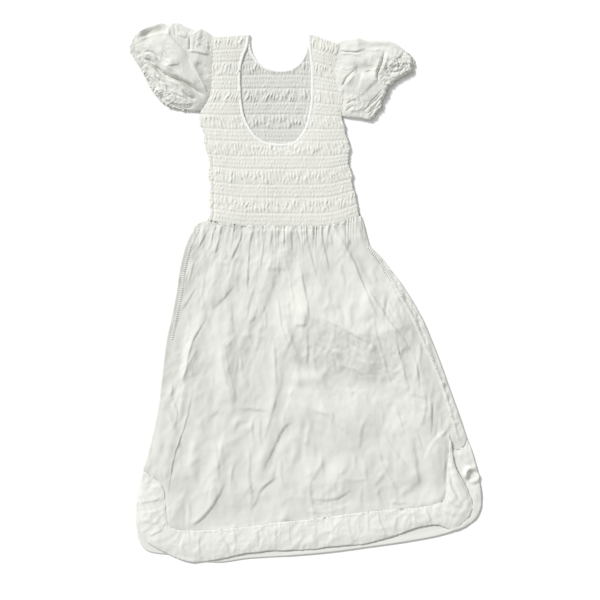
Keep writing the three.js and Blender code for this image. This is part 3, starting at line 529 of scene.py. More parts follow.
largeFoldEnds = dict(past=0.15, run=0.35)
largeFoldTop = dict(fades=110, run=30)
largeFolds = [
    ((62, 128), (152, -56), 6, 13, 3.4), ((120, 22), (224, -74), -6, 13, 2.6),
    ((132, -30), (178, -212), -4, 14, -2.6), ((184, -90), (222, -236), 4, 12, 2.2),
    ((-12, 62), (-4, -66), 5, 15, 3.6), ((-66, 60), (-120, -66), 5, 15, 3.2),
    ((-58, -2), (-18, -144), -3, 12, 2.8), ((-118, 126), (-150, -104), -6, 12, -2.4),
    ((-138, 26), (-206, -40), 9, 12, -2.8), ((-204, 62), (-262, -40), -3, 12, -2.2),
    ((-226, -66), (-294, -392), -6, 14, 2.8), ((-172, -104), (-150, -240), -4, 15, 3.4),
    ((-58, -152), (-104, -430), 6, 15, 3.6), ((-30, -276), (-112, -452), -8, 13, -2.6),
    ((4, -152), (176, -196), -8, 26, -2.8), ((-10, -240), (104, -320), 16, 26, 2.4),
    ((-168, -278), (-246, -480), -5, 22, -2.6), ((160, -290), (222, -374), 2, 13, -2.4),
    ((228, -292), (246, -446), 2, 15, -2.8), ((292, -300), (272, -430), -6, 17, 2.8),
]


def largeFoldField(x, y, rows):
    total = np.zeros_like(x)
    for (fx, fy), (tx, ty), bow, width, height in rows:
        rx, ry = tx - fx, ty - fy
        length = math.hypot(rx, ry)
        along = ((x - fx) * rx + (y - fy) * ry) / length ** 2
        aside = (-(x - fx) * ry + (y - fy) * rx) / length
        bowed = aside - bow * 4 * along * (1 - along)
        past, run = largeFoldEnds["past"], largeFoldEnds["run"]
        taper = smooth((along + past) / run) * smooth((1 + past - along) / run)
        total += height * taper * bell(bowed, width)
    return total


def frontUnder(x, y):  # the underside of the front skirt's solid
    belowWaist = 1 - smooth((y - largeFoldTop["fades"]) / largeFoldTop["run"])
    return np.maximum(backTop(y) + seamGap, frontBase(x, y) + largeFoldField(x, y, largeFolds) * belowWaist)


# Skirt front

skirt = dict(
    columns=240, rows=196, softFloor=1.3, edgeDip=0.3,
    sideFade=14, seamFade=10, bandFade=9, bandRise=14,  # how far in from the edges the relief grows
    foldsLeft=dict(seam=0.35, side=0.25, band=0.4),  # and the share of it that stays at an edge
    creasesLeft=0.3, crumplesLeft=0.4,
    sideLift=5.2, sideLiftBelow=60,
    gatherPitch=10.5, gatherReach=24, gatherHeight=2.3, gatherRound=0.8, gatherLift=2.8, liftReach=4,
    gatherDrift=(24, 3, 2.6), driftSlowing=0.15,
    gatherLength=(19, 4, 0.9, 2.2, 0.35, 2.2), gatherSize=(13, 5, 0.8, 1.6, 0.25, 1.5),  # rows for vary
    fan=dict(fromX=-45, fromY=138, spread=0.0014, scale=1.35),  # the creases fan out from the waist
    planes=[(100, 3.0, 2.0, 11), (46, 1.4, 2.2, 12), (23, 0.6, 2.4, 13)],  # size, height, stretch, seed
    creases=[(54, 2.0, 2.8, 1.45, 21), (27, 1.7, 2.6, 1.45, 31), (13, 0.5, 2.2, 1.45, 33)],
    crumples=[(14, 1.1, 1.5, 1.25, 41), (7.5, 0.5, 1.5, 1.25, 51)], crumpledBase=0.2,
    folds=[
        # broad planes and hollows
        ("ridge", 104, 16.0, [(-60, -6), (-10, -40), (50, -66), (120, -86), (180, -78), (256, -56)]),
        ("soft", 15, -2.2, [(-66, 60), (-90, 0), (-120, -66)]),
        ("ridge", 80, 7.0, [(-50, -226), (20, -244), (90, -268), (150, -310)]),
        ("ridge", 56, 4.6, [(-20, -395), (50, -400), (110, -384)]),
        ("ridge", 46, 5.5, [(-166, -30), (-160, -110), (-150, -200), (-136, -260)]),
        ("ridge", 50, 4.4, [(-160, -220), (-178, -330), (-214, -450)]),
        ("ridge", 44, 3.5, [(-26, -180), (-40, -280), (-64, -370)]),
        ("ridge", 44, 4.5, [(236, -110), (250, -220), (262, -300)]),
        ("ridge", 60, 5.5, [(205, -250), (222, -330), (236, -420)]),
        ("soft", 34, -3.4, [(20, -176), (100, -206), (180, -214), (256, -226)]),
        ("soft", 14, -3.2, [(-250, -50), (-262, -180), (-276, -330)]),
        ("soft", 10, -4.0, [(92, 116), (118, 70), (142, 24)]),
        # gathers that run down from the waist
        ("pleat", 6, 2.6, [(-203, 136), (-214, 115), (-228, 90)]),
        ("pleat", 5, 2.2, [(-190, 138), (-196, 116), (-204, 84)]),
        ("pleat", 5, 2.4, [(-176, 140), (-182, 112), (-191, 78)]),
        ("turn", 5, 2.0, [(-161, 138), (-153, 124), (-146, 110)]),
        ("pleat", 6, 3.0, [(-131, 134), (-140, 106), (-151, 82), (-158, 60)]),
        ("pleat", 6, 3.4, [(-113, 130), (-118, 95), (-121, 50), (-123, -4)]),
        ("pleat", 4, 2.0, [(-98, 134), (-99, 112), (-102, 92)]),
        ("pleat", 4, 2.2, [(-84, 132), (-88, 104), (-92, 72), (-95, 48)]),
        ("pleat", 4, 1.8, [(-70, 134), (-71, 118), (-73, 102)]),
        ("pleat", 4, 2.0, [(-57, 134), (-58, 116), (-60, 92)]),
        ("pleat", 4, 1.8, [(-44, 134), (-44, 118), (-45, 100)]),
        ("pleat", 4, 2.2, [(-31, 134), (-30, 110), (-29, 84)]),
        ("pleat", 5, 2.6, [(-20, 132), (-12, 104), (-2, 84)]),
        ("pleat", 5, 2.8, [(0, 134), (4, 106), (12, 76), (20, 40), (26, 28)]),
        ("pleat", 4, 2.0, [(14, 134), (17, 116), (22, 96)]),
        ("pleat", 5, 2.4, [(33, 134), (37, 104), (44, 72), (50, 42)]),
        ("pleat", 4, 1.8, [(47, 134), (52, 116), (57, 100)]),
        ("pleat", 5, 2.2, [(76, 142), (86, 118), (98, 98)]),
        ("pleat", 4, 1.8, [(90, 148), (100, 128), (112, 108)]),
        ("turn", 4, 1.6, [(102, 154), (108, 138), (116, 124)]),
        # the bold fold down the right of the front, and what lies beside it
        ("lap", 11, 5.6, [(60, 134), (78, 104), (100, 66), (116, 26), (140, -30), (158, -66)]),
        ("lap", 9, 3.8, [(120, 20), (150, -22), (184, -72), (206, -100), (228, -132)]),
        ("sharp", 7, 2.6, [(118, 40), (152, 4), (182, -34), (200, -58), (216, -72)]),
        ("sharp", 6, -2.4, [(130, 30), (158, -4), (186, -40)]),
        ("lap", 8, 3.2, [(140, -44), (148, -84), (158, -116), (168, -154), (186, -218)]),
        ("lap", 7, 3.0, [(188, -94), (196, -130), (207, -168), (219, -218)]),
        ("lap", 6, 2.2, [(222, -120), (234, -160), (238, -206)]),
        ("sharp", 6, 2.2, [(150, 66), (172, 30), (196, -18), (214, -60)]),
        ("sharp", 5, -2.0, [(140, 58), (150, 34), (168, 6)]),
        # the middle flap, with its square lower corner
        ("lap", 10, 4.6, [(-11, 60), (-7, 30), (-1, 0), (4, -32), (4, -64)]),
        ("lap", 7, 3.6, [(-24, -68), (-8, -67), (5, -66)]),
        ("lap", 5, 2.6, [(4, -66), (4, -110), (3, -166)]),
        ("sharp", 8, 1.6, [(-74, 34), (-94, 6), (-106, -32), (-128, -76)]),
        ("sharp", 7, 1.2, [(-36, 44), (-16, 2), (-8, -40), (-8, -62)]),
        ("lap", 7, 3.0, [(-62, 6), (-54, -40), (-50, -72), (-36, -108), (-19, -142)]),
        ("lap", 6, 2.2, [(-92, -18), (-82, -54), (-84, -84)]),
        ("lap", 5, 2.0, [(-36, -16), (-34, -36), (-33, -54)]),
        ("soft", 20, 2.2, [(-62, 84), (-60, 64), (-60, 44)]),
        ("sharp", 4, 1.8, [(-70, 92), (-56, 84), (-40, 88), (-28, 78)]),
        ("sharp", 4, 1.6, [(-52, 70), (-58, 54), (-52, 40)]),
        ("lap", 4, 1.8, [(-100, -28), (-108, -52), (-122, -66)]),
        # the deep hollow to the right of the middle
        ("lap", 10, 2.4, [(20, -48), (52, -62), (96, -84), (148, -112)]),
        ("sharp", 6, 2.4, [(30, -62), (50, -86), (82, -120), (100, -140)]),
        ("sharp", 5, 1.9, [(12, -96), (46, -116), (84, -134)]),
        ("sharp", 5, -2.0, [(70, -90), (104, -112), (132, -138)]),
        ("sharp", 5, 2.0, [(8, -140), (36, -166), (78, -184)]),
        ("turn", 14, 1.6, [(8, -168), (52, -194), (98, -206), (152, -204)]),
        ("sharp", 4, 1.5, [(60, -150), (96, -158), (136, -176)]),
        # long folds left of the middle
        ("lap", 7, 3.4, [(-66, -86), (-64, -130), (-62, -170), (-60, -204)]),
        ("lap", 11, 3.4, [(-58, -196), (-66, -236), (-78, -280), (-90, -318)]),
        ("lap", 10, 3.2, [(-16, -270), (-42, -278), (-58, -306), (-76, -342), (-92, -378)]),
        ("lap", 8, 4.2, [(-58, -384), (-92, -410), (-106, -440), (-120, -462)]),
        ("lap", 6, 3.0, [(-118, -328), (-119, -368), (-116, -404), (-108, -442)]),
        ("lap", 5, 2.2, [(-96, -250), (-95, -290), (-92, -330)]),
        ("lap", 5, 2.4, [(-112, -262), (-110, -300), (-107, -342)]),
        ("lap", 11, 2.2, [(-166, -104), (-162, -150), (-151, -200), (-146, -240)]),
        ("lap", 6, 2.8, [(-146, -240), (-112, -244), (-74, -246)]),
        ("sharp", 5, 1.8, [(-140, -92), (-110, -88), (-82, -94)]),
        ("sharp", 5, 1.8, [(-122, -76), (-112, -108), (-100, -122)]),
        ("lap", 5, 2.2, [(-106, 16), (-118, -24), (-124, -60)]),
        # the left side
        ("lap", 9, 2.2, [(-138, 24), (-160, 4), (-178, -18), (-206, -40)]),
        ("sharp", 4, 1.6, [(-186, 66), (-170, 62), (-154, 60)]),
        ("lap", 6, 2.4, [(-205, 62), (-211, 34), (-216, 6)]),
        ("lap", 7, 3.0, [(-228, 16), (-248, -18), (-264, -40)]),
        ("lap", 5, 2.0, [(-248, 44), (-251, 24), (-252, 2)]),
        ("lap", 5, 2.0, [(-232, 70), (-240, 44), (-246, 16)]),
        ("sharp", 7, 2.2, [(-195, -74), (-184, -96), (-165, -110), (-146, -84)]),
        ("lap", 8, 2.0, [(-198, -34), (-214, -62), (-236, -102), (-252, -166)]),
        ("lap", 5, 2.2, [(-274, -172), (-280, -214), (-268, -256), (-279, -288)]),
        ("sharp", 5, 1.8, [(-262, -186), (-268, -220), (-282, -246)]),
        ("lap", 9, 2.6, [(-235, -188), (-245, -245), (-258, -292), (-275, -342), (-286, -404), (-290, -438)]),
        ("sharp", 6, 1.9, [(-222, -110), (-246, -150), (-262, -200)]),
        ("lap", 6, 2.2, [(-194, -298), (-186, -330), (-180, -398)]),
        ("lap", 16, 3.8, [(-165, -388), (-186, -430), (-216, -470), (-252, -496)]),
        ("soft", 22, 2.4, [(-200, -200), (-216, -300), (-240, -400)]),
        ("soft", 18, -2.2, [(-205, -130), (-190, -220), (-200, -300)]),
        # broad crests that catch the light
        ("soft", 15, 4.4, [(-36, -190), (0, -180), (46, -178)]),
        ("soft", 8, 3.0, [(-44, -56), (-34, -100), (-12, -150)]),
        ("soft", 7, 2.4, [(-228, -66), (-244, -120), (-256, -200), (-266, -300)]),
        ("sharp", 6, 2.2, [(-178, -116), (-170, -170), (-150, -240)]),
        ("soft", 9, 2.4, [(-214, -440), (-236, -380), (-232, -320), (-214, -270)]),
        ("sharp", 5, 2.2, [(-62, 96), (-40, 60), (-30, 10), (-24, -40)]),
        # the lower right
        ("lap", 12, 2.8, [(10, -246), (40, -253), (66, -274), (92, -302)]),
        ("lap", 7, 2.6, [(35, -332), (34, -360), (6, -402)]),
        ("sharp", 6, 1.8, [(-22, -320), (-8, -316), (12, -310)]),
        ("lap", 9, 3.4, [(165, -294), (186, -332), (222, -374)]),
        ("lap", 6, 2.4, [(150, -300), (158, -346), (196, -424)]),
        ("lap", 6, 2.2, [(187, -234), (198, -266), (211, -298)]),
        ("lap", 5, 2.0, [(220, -214), (240, -216), (256, -221)]),
        ("sharp", 5, 1.8, [(224, -230), (236, -238), (252, -246)]),
        ("lap", 7, 3.0, [(222, -298), (232, -350), (240, -422)]),
        ("turn", 10, 3.8, [(300, -290), (280, -300), (262, -322), (250, -354)]),
        ("lap", 5, 2.0, [(265, -224), (264, -262), (262, -302)]),
        ("lap", 14, 2.8, [(10, -432), (60, -432), (102, -408)]),
        ("sharp", 5, 2.0, [(-20, -452), (30, -460), (74, -452), (102, -440)]),
        ("sharp", 4, 1.8, [(0, -440), (24, -452), (60, -446)]),
        ("lap", 5, 1.8, [(178, -438), (198, -441), (218, -439)]),
        ("sharp", 5, 1.6, [(60, -380), (100, -392), (140, -388)]),
        ("soft", 30, 2.6, [(60, -330), (120, -380), (160, -420)]),
        ("soft", 24, -1.8, [(20, -380), (80, -350), (120, -330)]),
    ],
    # patches of finer crumples: centre, reach, strength
    crumpled=[((-225, 60), 60, 1.2), ((-250, -150), 70, 0.9), ((75, -125), 62, 2.2),
              ((170, -160), 50, 1.6), ((20, -104), 30, 1.0), ((95, -190), 40, 1.4),
              ((-60, 60), 50, 0.9), ((205, -60), 70, 0.9), ((240, -240), 70, 1.0),
              ((40, -450), 60, 1.2), ((-110, -120), 60, 0.7), ((200, -430), 50, 0.8),
              ((-150, -450), 70, 0.5), ((-130, 40), 60, 0.5)],
)


def patchStrength(x, y, patches, base):
    strength = np.full(x.shape, base)
    for (cx, cy), reach, amount in patches:
        strength += amount * bell(np.hypot(x - cx, y - cy), reach)
    return strength


def skirtSurface(x, y, waistY):
    height = frontUnder(x, y) + wall["single"]
    below = np.clip(waistY - y, 0, None)
    toBand = distanceTo(bandLine, x, y, closed=False)
    toSide = distanceTo(sideLine, x, y, closed=False)
    sideFade = smooth(distanceTo(outlineRing, x, y) / skirt["sideFade"])
    seamFade = smooth(below / skirt["seamFade"])
    bandFade = smooth(toBand / skirt["bandFade"])
    stays = skirt["foldsLeft"]
    fade = atLeast(stays["seam"], seamFade) * atLeast(stays["side"], sideFade)
    fade = fade * atLeast(stays["band"], bandFade)
    height = height + foldField(x, y, skirt["folds"]) * fade - skirt["edgeDip"] * (1 - bandFade)

    phase = x / skirt["gatherPitch"] + drift(x, y * skirt["driftSlowing"], skirt["gatherDrift"])
    reach = skirt["gatherReach"] * vary(x, y * 0, skirt["gatherLength"])
    gathered = np.exp(-below / reach) * vary(x, y * 0, skirt["gatherSize"])
    puffs = puffed(phase, skirt["gatherRound"])
    height = height + 2 * skirt["gatherHeight"] * gathered * (puffs - 0.5)
    lifted = skirt["gatherLift"] * puffs * np.exp(-below / skirt["liftReach"])  # up over the seam

    fan = skirt["fan"]
    across = (x - fan["fromX"]) / (1 + fan["spread"] * (fan["fromY"] - y)) * fan["scale"]
    for size, rise, stretch, seed in skirt["planes"]:
        plane = rise * facets(across, y, size, seed, stretch, math.pi / 2)
        height = height + plane * sideFade * seamFade * bandFade
    height = height + crumples(across, y, skirt["creases"]) * atLeast(skirt["creasesLeft"], sideFade)
    strength = patchStrength(x, y, skirt["crumpled"], skirt["crumpledBase"])
    strength = strength * atLeast(skirt["crumplesLeft"], sideFade)
    height = height + crumples(across, y, skirt["crumples"]) * strength

    rounded = np.exp(-toSide / billow["reach"]) * smooth(below / skirt["sideLiftBelow"])
    height = height + skirt["sideLift"] * rounded * smooth(toBand / skirt["bandRise"])
    floorZ = backTop(y) + seamGap + cloth["single"]
    return floorZ + skirt["softFloor"] * np.logaddexp(0, (height - floorZ) / skirt["softFloor"]), lifted


u = np.linspace(0, 1, skirt["columns"])
v = np.linspace(0, 1, skirt["rows"])
frontBandSeam = alongLength([(r[0], r[1]) for r in band["front"]])
bandLine = splinePoints([(r[0], r[1]) for r in band["front"]], steps["line"])
sideLine = splinePoints(outline["skirtLeft"], steps["side"])
waistAt = alongLength(outline["waist"])
skirtX, skirtY = patch(waistAt, frontBandSeam, alongLength(outline["skirtLeft"]),
                       alongLength(outline["skirtSeam"]), u, v)
skirtZ, skirtLift = skirtSurface(skirtX, skirtY, skirtY[0][None, :])
skirtFront = shell("skirtFront", np.dstack([skirtX, skirtY + skirtLift, skirtZ]), cloth["single"],
                   cottonWhite, outward=-1)
print("skirt front made")

# Hem band on the front: doubled cloth, puckered along its seam and its edge

hem = dict(
    columns=420, rows=26, lapped=0.03, raised=0.6, swell=1.0, swellRound=0.5,
    puckerPitch=6.8, puckerHeight=0.75, puckerDrift=(26, 61, 2.4), puckerSize=(24, 62, 0.5, 2.2, 0, 1.6),
    seamPuckers=0.18, edgePuckers=0.14, edgeShare=0.6, sizeDown=20,  # how far in from seam and edge
    foldHeight=0.9, foldsFrom=0.12, planeHeight=0.9, planes=(34, 73, 1.3, 1.0),
    crumples=[(24, 2.4, 1.4, 1.1, 71), (11, 1.1, 1.0, 0.0, 72)],
    edgeDroop=1.1, droopReach=0.12, wobble=(24, 63, 1.6),
    stitched=[(0.06, 0.025, 0.35), (0.93, 0.03, 0.30)],  # the two rows of stitches: where, width, depth
    folds=[
        ("lap", 5, 2.2, [(-150, -500), (-147, -520), (-148, -548)]),
        ("lap", 5, 2.0, [(-102, -494), (-100, -516), (-101, -540)]),
        ("lap", 7, 2.8, [(-182, -506), (-168, -522), (-160, -546)]),
        ("lap", 5, 1.8, [(-220, -508), (-224, -530), (-218, -556)]),
        ("turn", 5, 1.8, [(-252, -506), (-262, -530), (-258, -552)]),
        ("lap", 6, 2.2, [(-348, -440), (-328, -437), (-304, -432)]),
        ("lap", 6, 2.2, [(-342, -478), (-326, -480), (-304, -484)]),
        ("sharp", 5, 2.0, [(-326, -408), (-312, -406), (-304, -402)]),
        ("lap", 6, 2.4, [(-330, -512), (-312, -502), (-296, -494)]),
        ("turn", 6, 2.0, [(-345, -458), (-330, -460), (-306, -456)]),
        ("lap", 4, 1.6, [(-66, -488), (-62, -510), (-64, -534)]),
        ("lap", 4, 1.5, [(-30, -484), (-34, -506), (-30, -532)]),
        ("lap", 4, 1.8, [(20, -480), (22, -500), (18, -530)]),
        ("turn", 4, 1.5, [(52, -476), (56, -498), (54, -524)]),
        ("lap", 5, 2.0, [(88, -470), (92, -494), (98, -520)]),
        ("lap", 7, 3.4, [(150, -466), (160, -490), (172, -514)]),
        ("lap", 5, 2.0, [(186, -458), (190, -478), (186, -500)]),
        ("turn", 5, 2.2, [(222, -452), (228, -470), (226, -488)]),
        ("lap", 6, 2.6, [(250, -452), (258, -466), (266, -482)]),
        ("lap", 7, 2.8, [(284, -452), (300, -462), (318, -468)]),
        ("turn", 8, 3.4, [(302, -352), (312, -392), (326, -424), (340, -446)]),
        ("soft", 5, 2.4, [(301, -330), (308, -366), (320, -392), (332, -414), (340, -440), (336, -464)]),
        ("lap", 7, 3.0, [(300, -380), (306, -410), (322, -438)]),
        ("lap", 5, 2.0, [(298, -430), (312, -444), (330, -452)]),
    ],
)


def bandPlan(rows, columns, lapped, table):
    seam = splinePoints([(r[0], r[1]) for r in table], steps["band"])
    edge = splinePoints([(r[2], r[3]) for r in table], steps["band"])
    middle = (seam + edge) / 2
    run = np.concatenate([[0], np.cumsum(np.linalg.norm(np.diff(middle, axis=0), axis=1))])
    at = np.linspace(0, run[-1], columns)
    s = np.stack([np.interp(at, run, seam[:, k]) for k in (0, 1)], 1)
    e = np.stack([np.interp(at, run, edge[:, k]) for k in (0, 1)], 1)
    t = np.linspace(-lapped, 1, rows)[:, None]
    return mix(s[None, :, 0], e[None, :, 0], t), mix(s[None, :, 1], e[None, :, 1], t), at[None, :], t


hemX, hemY, hemRun, hemAcross = bandPlan(hem["rows"], hem["columns"], hem["lapped"], band["front"])
puckers = waves(hemRun / hem["puckerPitch"] + drift(hemRun, hemRun * 0, hem["puckerDrift"]))
atSeam = np.exp(-np.abs(hemAcross) / hem["seamPuckers"])
atEdge = np.exp(-(1 - hemAcross) / hem["edgePuckers"])
puckerSize = vary(hemRun, hemAcross * hem["sizeDown"], hem["puckerSize"])
hemZ = (frontUnder(hemX, hemY) + wall["single"] + hem["raised"]
        + hem["swell"] * np.sin(math.pi * np.clip(hemAcross, 0, 1)) ** hem["swellRound"]
        + hem["puckerHeight"] * puckers * (atSeam + hem["edgeShare"] * atEdge) * puckerSize
        + hem["foldHeight"] * foldField(hemX, hemY, hem["folds"]) * smooth(hemAcross / hem["foldsFrom"])
        + hem["planeHeight"] * facets(hemX, hemY, *hem["planes"])
        + crumples(hemX, hemY, hem["crumples"])
        - hem["edgeDroop"] * np.exp(-(1 - hemAcross) / hem["droopReach"]))
for where, width, depth in hem["stitched"]:
    hemZ = hemZ - depth * bell(hemAcross - where, width)
wobble = drift(hemRun, hemRun * 0 + 5, hem["wobble"]) * hemAcross ** 2
hemBandFront = shell("hemBandFront", np.dstack([hemX, hemY + wobble, hemZ]), cloth["doubled"],
                     doubledWhite, outward=-1)
print("front hem band made")

# Skirt back: flat on the surface, folded over at the right and brought back up to the side seam

backSheet = dict(
    leafColumns=70, foldColumns=10, wrapColumns=22, rows=200, lift=0.7, relief=0.2, reliefSize=40,
    corner=(320, -322), cornerReach=26, cornerRise=0.9,
    endFrom=0.93, endHeight=2.7, tongue=24, tongueRound=0.6,  # where the turned strip sinks and ends
    bulge=0.4, lapped=1.8, stripSwell=0.4, stripEdge=0.5, stripEdgeFrom=0.8, lowest=1.9,
    crumples=[(24, 5.0, 1.8, 2.0, 91), (11, 4.0, 1.5, 2.0, 92), (6, 1.6, 1.0, 0.0, 93)],
    crumplesTo=0.95, endCalm=0.75,
    levelFrom=0.25, levelRun=0.6, ladderRise=0.15, ladderShift=4, ridgeHeight=1.4, ridgeWidth=3.4,
    ladder=[(134, 99), (146, 82), (158, 68), (170, 50), (186, 26), (209, -14), (232, -56),
            (255, -108), (277, -155), (294, -200), (309, -250), (319, -285), (324, -304)],
)
leafU = np.linspace(0, 1, backSheet["leafColumns"])
rowV = np.linspace(0, 1, backSheet["rows"])
backBandSeam = alongLength([(r[0], r[1]) for r in band["back"]])
leafX, leafY = patch(waistAt, backBandSeam, alongLength(outline["skirtLeft"]),
                     alongLength(outline["skirtFold"]), leafU, rowV)
cornerX, cornerY = backSheet["corner"]
nearCorner = bell(np.hypot(leafX - cornerX, leafY - cornerY), backSheet["cornerReach"])
leafRelief = backSheet["relief"] * latticeNoise(leafX, leafY, backSheet["reliefSize"], 81) ** 2
leafZ = backSheet["lift"] + backSheet["cornerRise"] * nearCorner + leafRelief
seamLine = alongLength(outline["skirtSeam"])(rowV)
foldLine = alongLength(outline["skirtFold"])(rowV)
foldZ = np.maximum(frontUnder(seamLine[:, 0], seamLine[:, 1]), wall["single"] + 2 * seamGap)
foldZ = foldZ + wall["single"]
toEnd = smooth((rowV - backSheet["endFrom"]) / (1 - backSheet["endFrom"]))[:, None]
foldZ = mix(foldZ, backSheet["endHeight"], toEnd[:, 0])  # the turned strip sinks to its lower end
turnU = np.linspace(0, math.pi, backSheet["foldColumns"] + 2)[1:-1]
turnRadius = (foldZ - backSheet["lift"]) / 2
stripWidth = np.linalg.norm(foldLine - seamLine, axis=1)
bulge = np.minimum(turnRadius, backSheet["bulge"] * stripWidth)[:, None]
turnX = foldLine[:, :1] - bulge + bulge * np.sin(turnU)[None]
turnY = np.repeat(foldLine[:, 1:], len(turnU), axis=1)
turnZ = backSheet["lift"] + turnRadius[:, None] * (1 - np.cos(turnU)[None])
wrapU = np.linspace(0, 1, backSheet["wrapColumns"] + 1)[1:]
wrapX = mix(foldLine[:, :1] - bulge, seamLine[:, :1] - backSheet["lapped"], wrapU[None])
wrapY = mix(foldLine[:, 1:], seamLine[:, 1:], wrapU[None])
arch = np.sin(math.pi * wrapU)[None]
wrapY = wrapY - backSheet["tongue"] * toEnd * arch ** backSheet["tongueRound"]
nearSeam = smooth((wrapU - backSheet["stripEdgeFrom"]) / (1 - backSheet["stripEdgeFrom"]))[None]
free = np.sin(math.pi * np.clip(wrapU, 0, backSheet["crumplesTo"]))[None] ** 0.5
free = free * (1 - backSheet["endCalm"] * toEnd)
wrapZ = (foldZ[:, None] + backSheet["stripSwell"] * arch + backSheet["stripEdge"] * nearSeam
         + crumples(wrapX, wrapY, backSheet["crumples"]) * free)
skirtEdge = np.interp(rowV, v, skirtZ[:, -1])[:, None] + backSheet["ladderRise"]
levelled = smooth((wrapU - backSheet["levelFrom"]) / backSheet["levelRun"])[None] * (1 - toEnd)
wrapZ = mix(wrapZ, skirtEdge, levelled)  # level with the front at its seam
ladderLine = splinePoints(backSheet["ladder"], steps["line"])
fromLadder = distanceTo(ladderLine, wrapX + backSheet["ladderShift"], wrapY, closed=False)
wrapZ = wrapZ + backSheet["ridgeHeight"] * bell(fromLadder, backSheet["ridgeWidth"])
wrapZ = np.maximum(wrapZ, backSheet["lowest"])
leafX[:, -1:] -= bulge
backGrid = np.dstack([np.hstack([leafX, turnX, wrapX]), np.hstack([leafY, turnY, wrapY]),
                      np.hstack([leafZ, turnZ, wrapZ])])
skirtBack = shell("skirtBack", backGrid, cloth["single"], cottonWhite)

backHem = dict(
    columns=300, rows=24, lapped=0.14, lift=1.3, lowest=1.15,
    pull=11, pullY=-345, pullReach=26, pullFromX=280,  # its seam is drawn in under the turned strip
    shownX=292, shownRunX=16, shownY=-300, shownRunY=20,  # only the corner shows, so it has the relief
    swell=1.7, swellStart=0.2, swellRound=0.6,
    lip=0.9, lipFrom=0.78, lipRun=0.14, lipX=-50, lipRunX=20,
    crumples=[(24, 2.0, 1.4, 1.0, 95), (10, 1.0, 1.0, 0.0, 96)],
    ripple=0.3, ripplePitch=7, rippleReach=0.15,
    folds=[
        ("lap", 6, 3.2, [(318, -330), (332, -352), (352, -364)]),
        ("soft", 3.6, 10.0, [(341, -395), (336, -384), (340, -372), (352, -368), (362, -374)]),
        ("soft", 3.0, 6.0, [(364, -376), (364, -388), (356, -396), (344, -397)]),
        ("turn", 6, 3.4, [(336, -402), (350, -410), (366, -404)]),
        ("lap", 5, 2.2, [(356, -410), (360, -436), (354, -462)]),
        ("lap", 4, 1.6, [(300, -500), (320, -494), (344, -480)]),
    ],
)
bandX, bandY, bandRun, bandAcross = bandPlan(backHem["rows"], backHem["columns"], backHem["lapped"],
                                             band["back"])
pulled = backHem["pull"] * bell(bandY - backHem["pullY"], backHem["pullReach"])
bandX = bandX - pulled * (bandX > backHem["pullFromX"]) * np.clip(1 - bandAcross, 0, 1) ** 2
shown = smooth((bandX - backHem["shownX"]) / backHem["shownRunX"])
shown = shown * smooth((backHem["shownY"] - bandY) / backHem["shownRunY"])
bandSwell = np.sin(math.pi * atLeast(backHem["swellStart"], np.clip(bandAcross, 0, 1)))
bandSwell = backHem["swell"] * np.clip(bandSwell, 0, 1) ** backHem["swellRound"]
lip = smooth((bandAcross - backHem["lipFrom"]) / backHem["lipRun"])
lip = backHem["lip"] * lip * smooth((bandX - backHem["lipX"]) / backHem["lipRunX"])
ripple = backHem["ripple"] * waves(bandRun, backHem["ripplePitch"])
ripple = ripple * np.exp(-(1 - bandAcross) / backHem["rippleReach"])
bandRelief = foldField(bandX, bandY, backHem["folds"]) + crumples(bandX, bandY, backHem["crumples"])
bandZ = backHem["lift"] + lip + (bandSwell + bandRelief + ripple) * shown
bandZ = np.maximum(bandZ, backHem["lowest"])
hemBandBack = shell("hemBandBack", np.dstack([bandX, bandY, bandZ]), cloth["doubled"],
                    doubledWhite, outward=-1)
print("skirt back and its band made")

# Bodice: rows of shirring draw the cloth into gathers, in wide and narrow bands by turns

smocking = dict(
    lines=[138, 166, 199, 226, 260, 286, 319, 344, 375, 400, 430, 458, 489, 516, 548],
    columns=206, rows=238, backColumns=190, backRows=210,
    width=300, low=138, high=545, above=620,  # the panel as drawn up, and a height over the shoulders
    lineWobble=(46, 0, 1.3), lineMargin=0.01, lineDepth=0.6, lineWidth=1.6,
    gathers=40, gatherDrift=[(13, 1, 0.9), (34, 2, 0.8)], gatherShift=0.37, gatherRound=0.75,
    gatherSize=(14, 3, 0.75, 1.7, 0.15, 1.5), noiseShifts=(37.0, 61.0),
    wideHeight=1.9, wideRound=0.55, wideBubbles=1.6,
    narrowHeight=1.0, narrowRows=3, narrowRound=0.6, narrowGathers=1.45, narrowShift=0.3,
    narrowSize=(0.5, 0.6), bubbles=[(8, 0.6, 1.0, 0.0, 5), (4.6, 0.6, 1.0, 0.0, 6)],
    sideWave=1.6, sideWaveY=182, sideWavePitch=60, sideDrift=(19, 9, 5), sideReach=9,
    waistDip=1.9, dipReach=5, waistLap=2.0, lapReach=4,
    seamInset=8, seamDrift=(13, 10, 3), seamDepth=1.5, seamWidth=1.5, seamTo=300, seamFade=60,
    edgeRipple=0.5, edgeRipplePitch=7, edgeColumns=3, softFloor=0.25, clear=0.2,
)


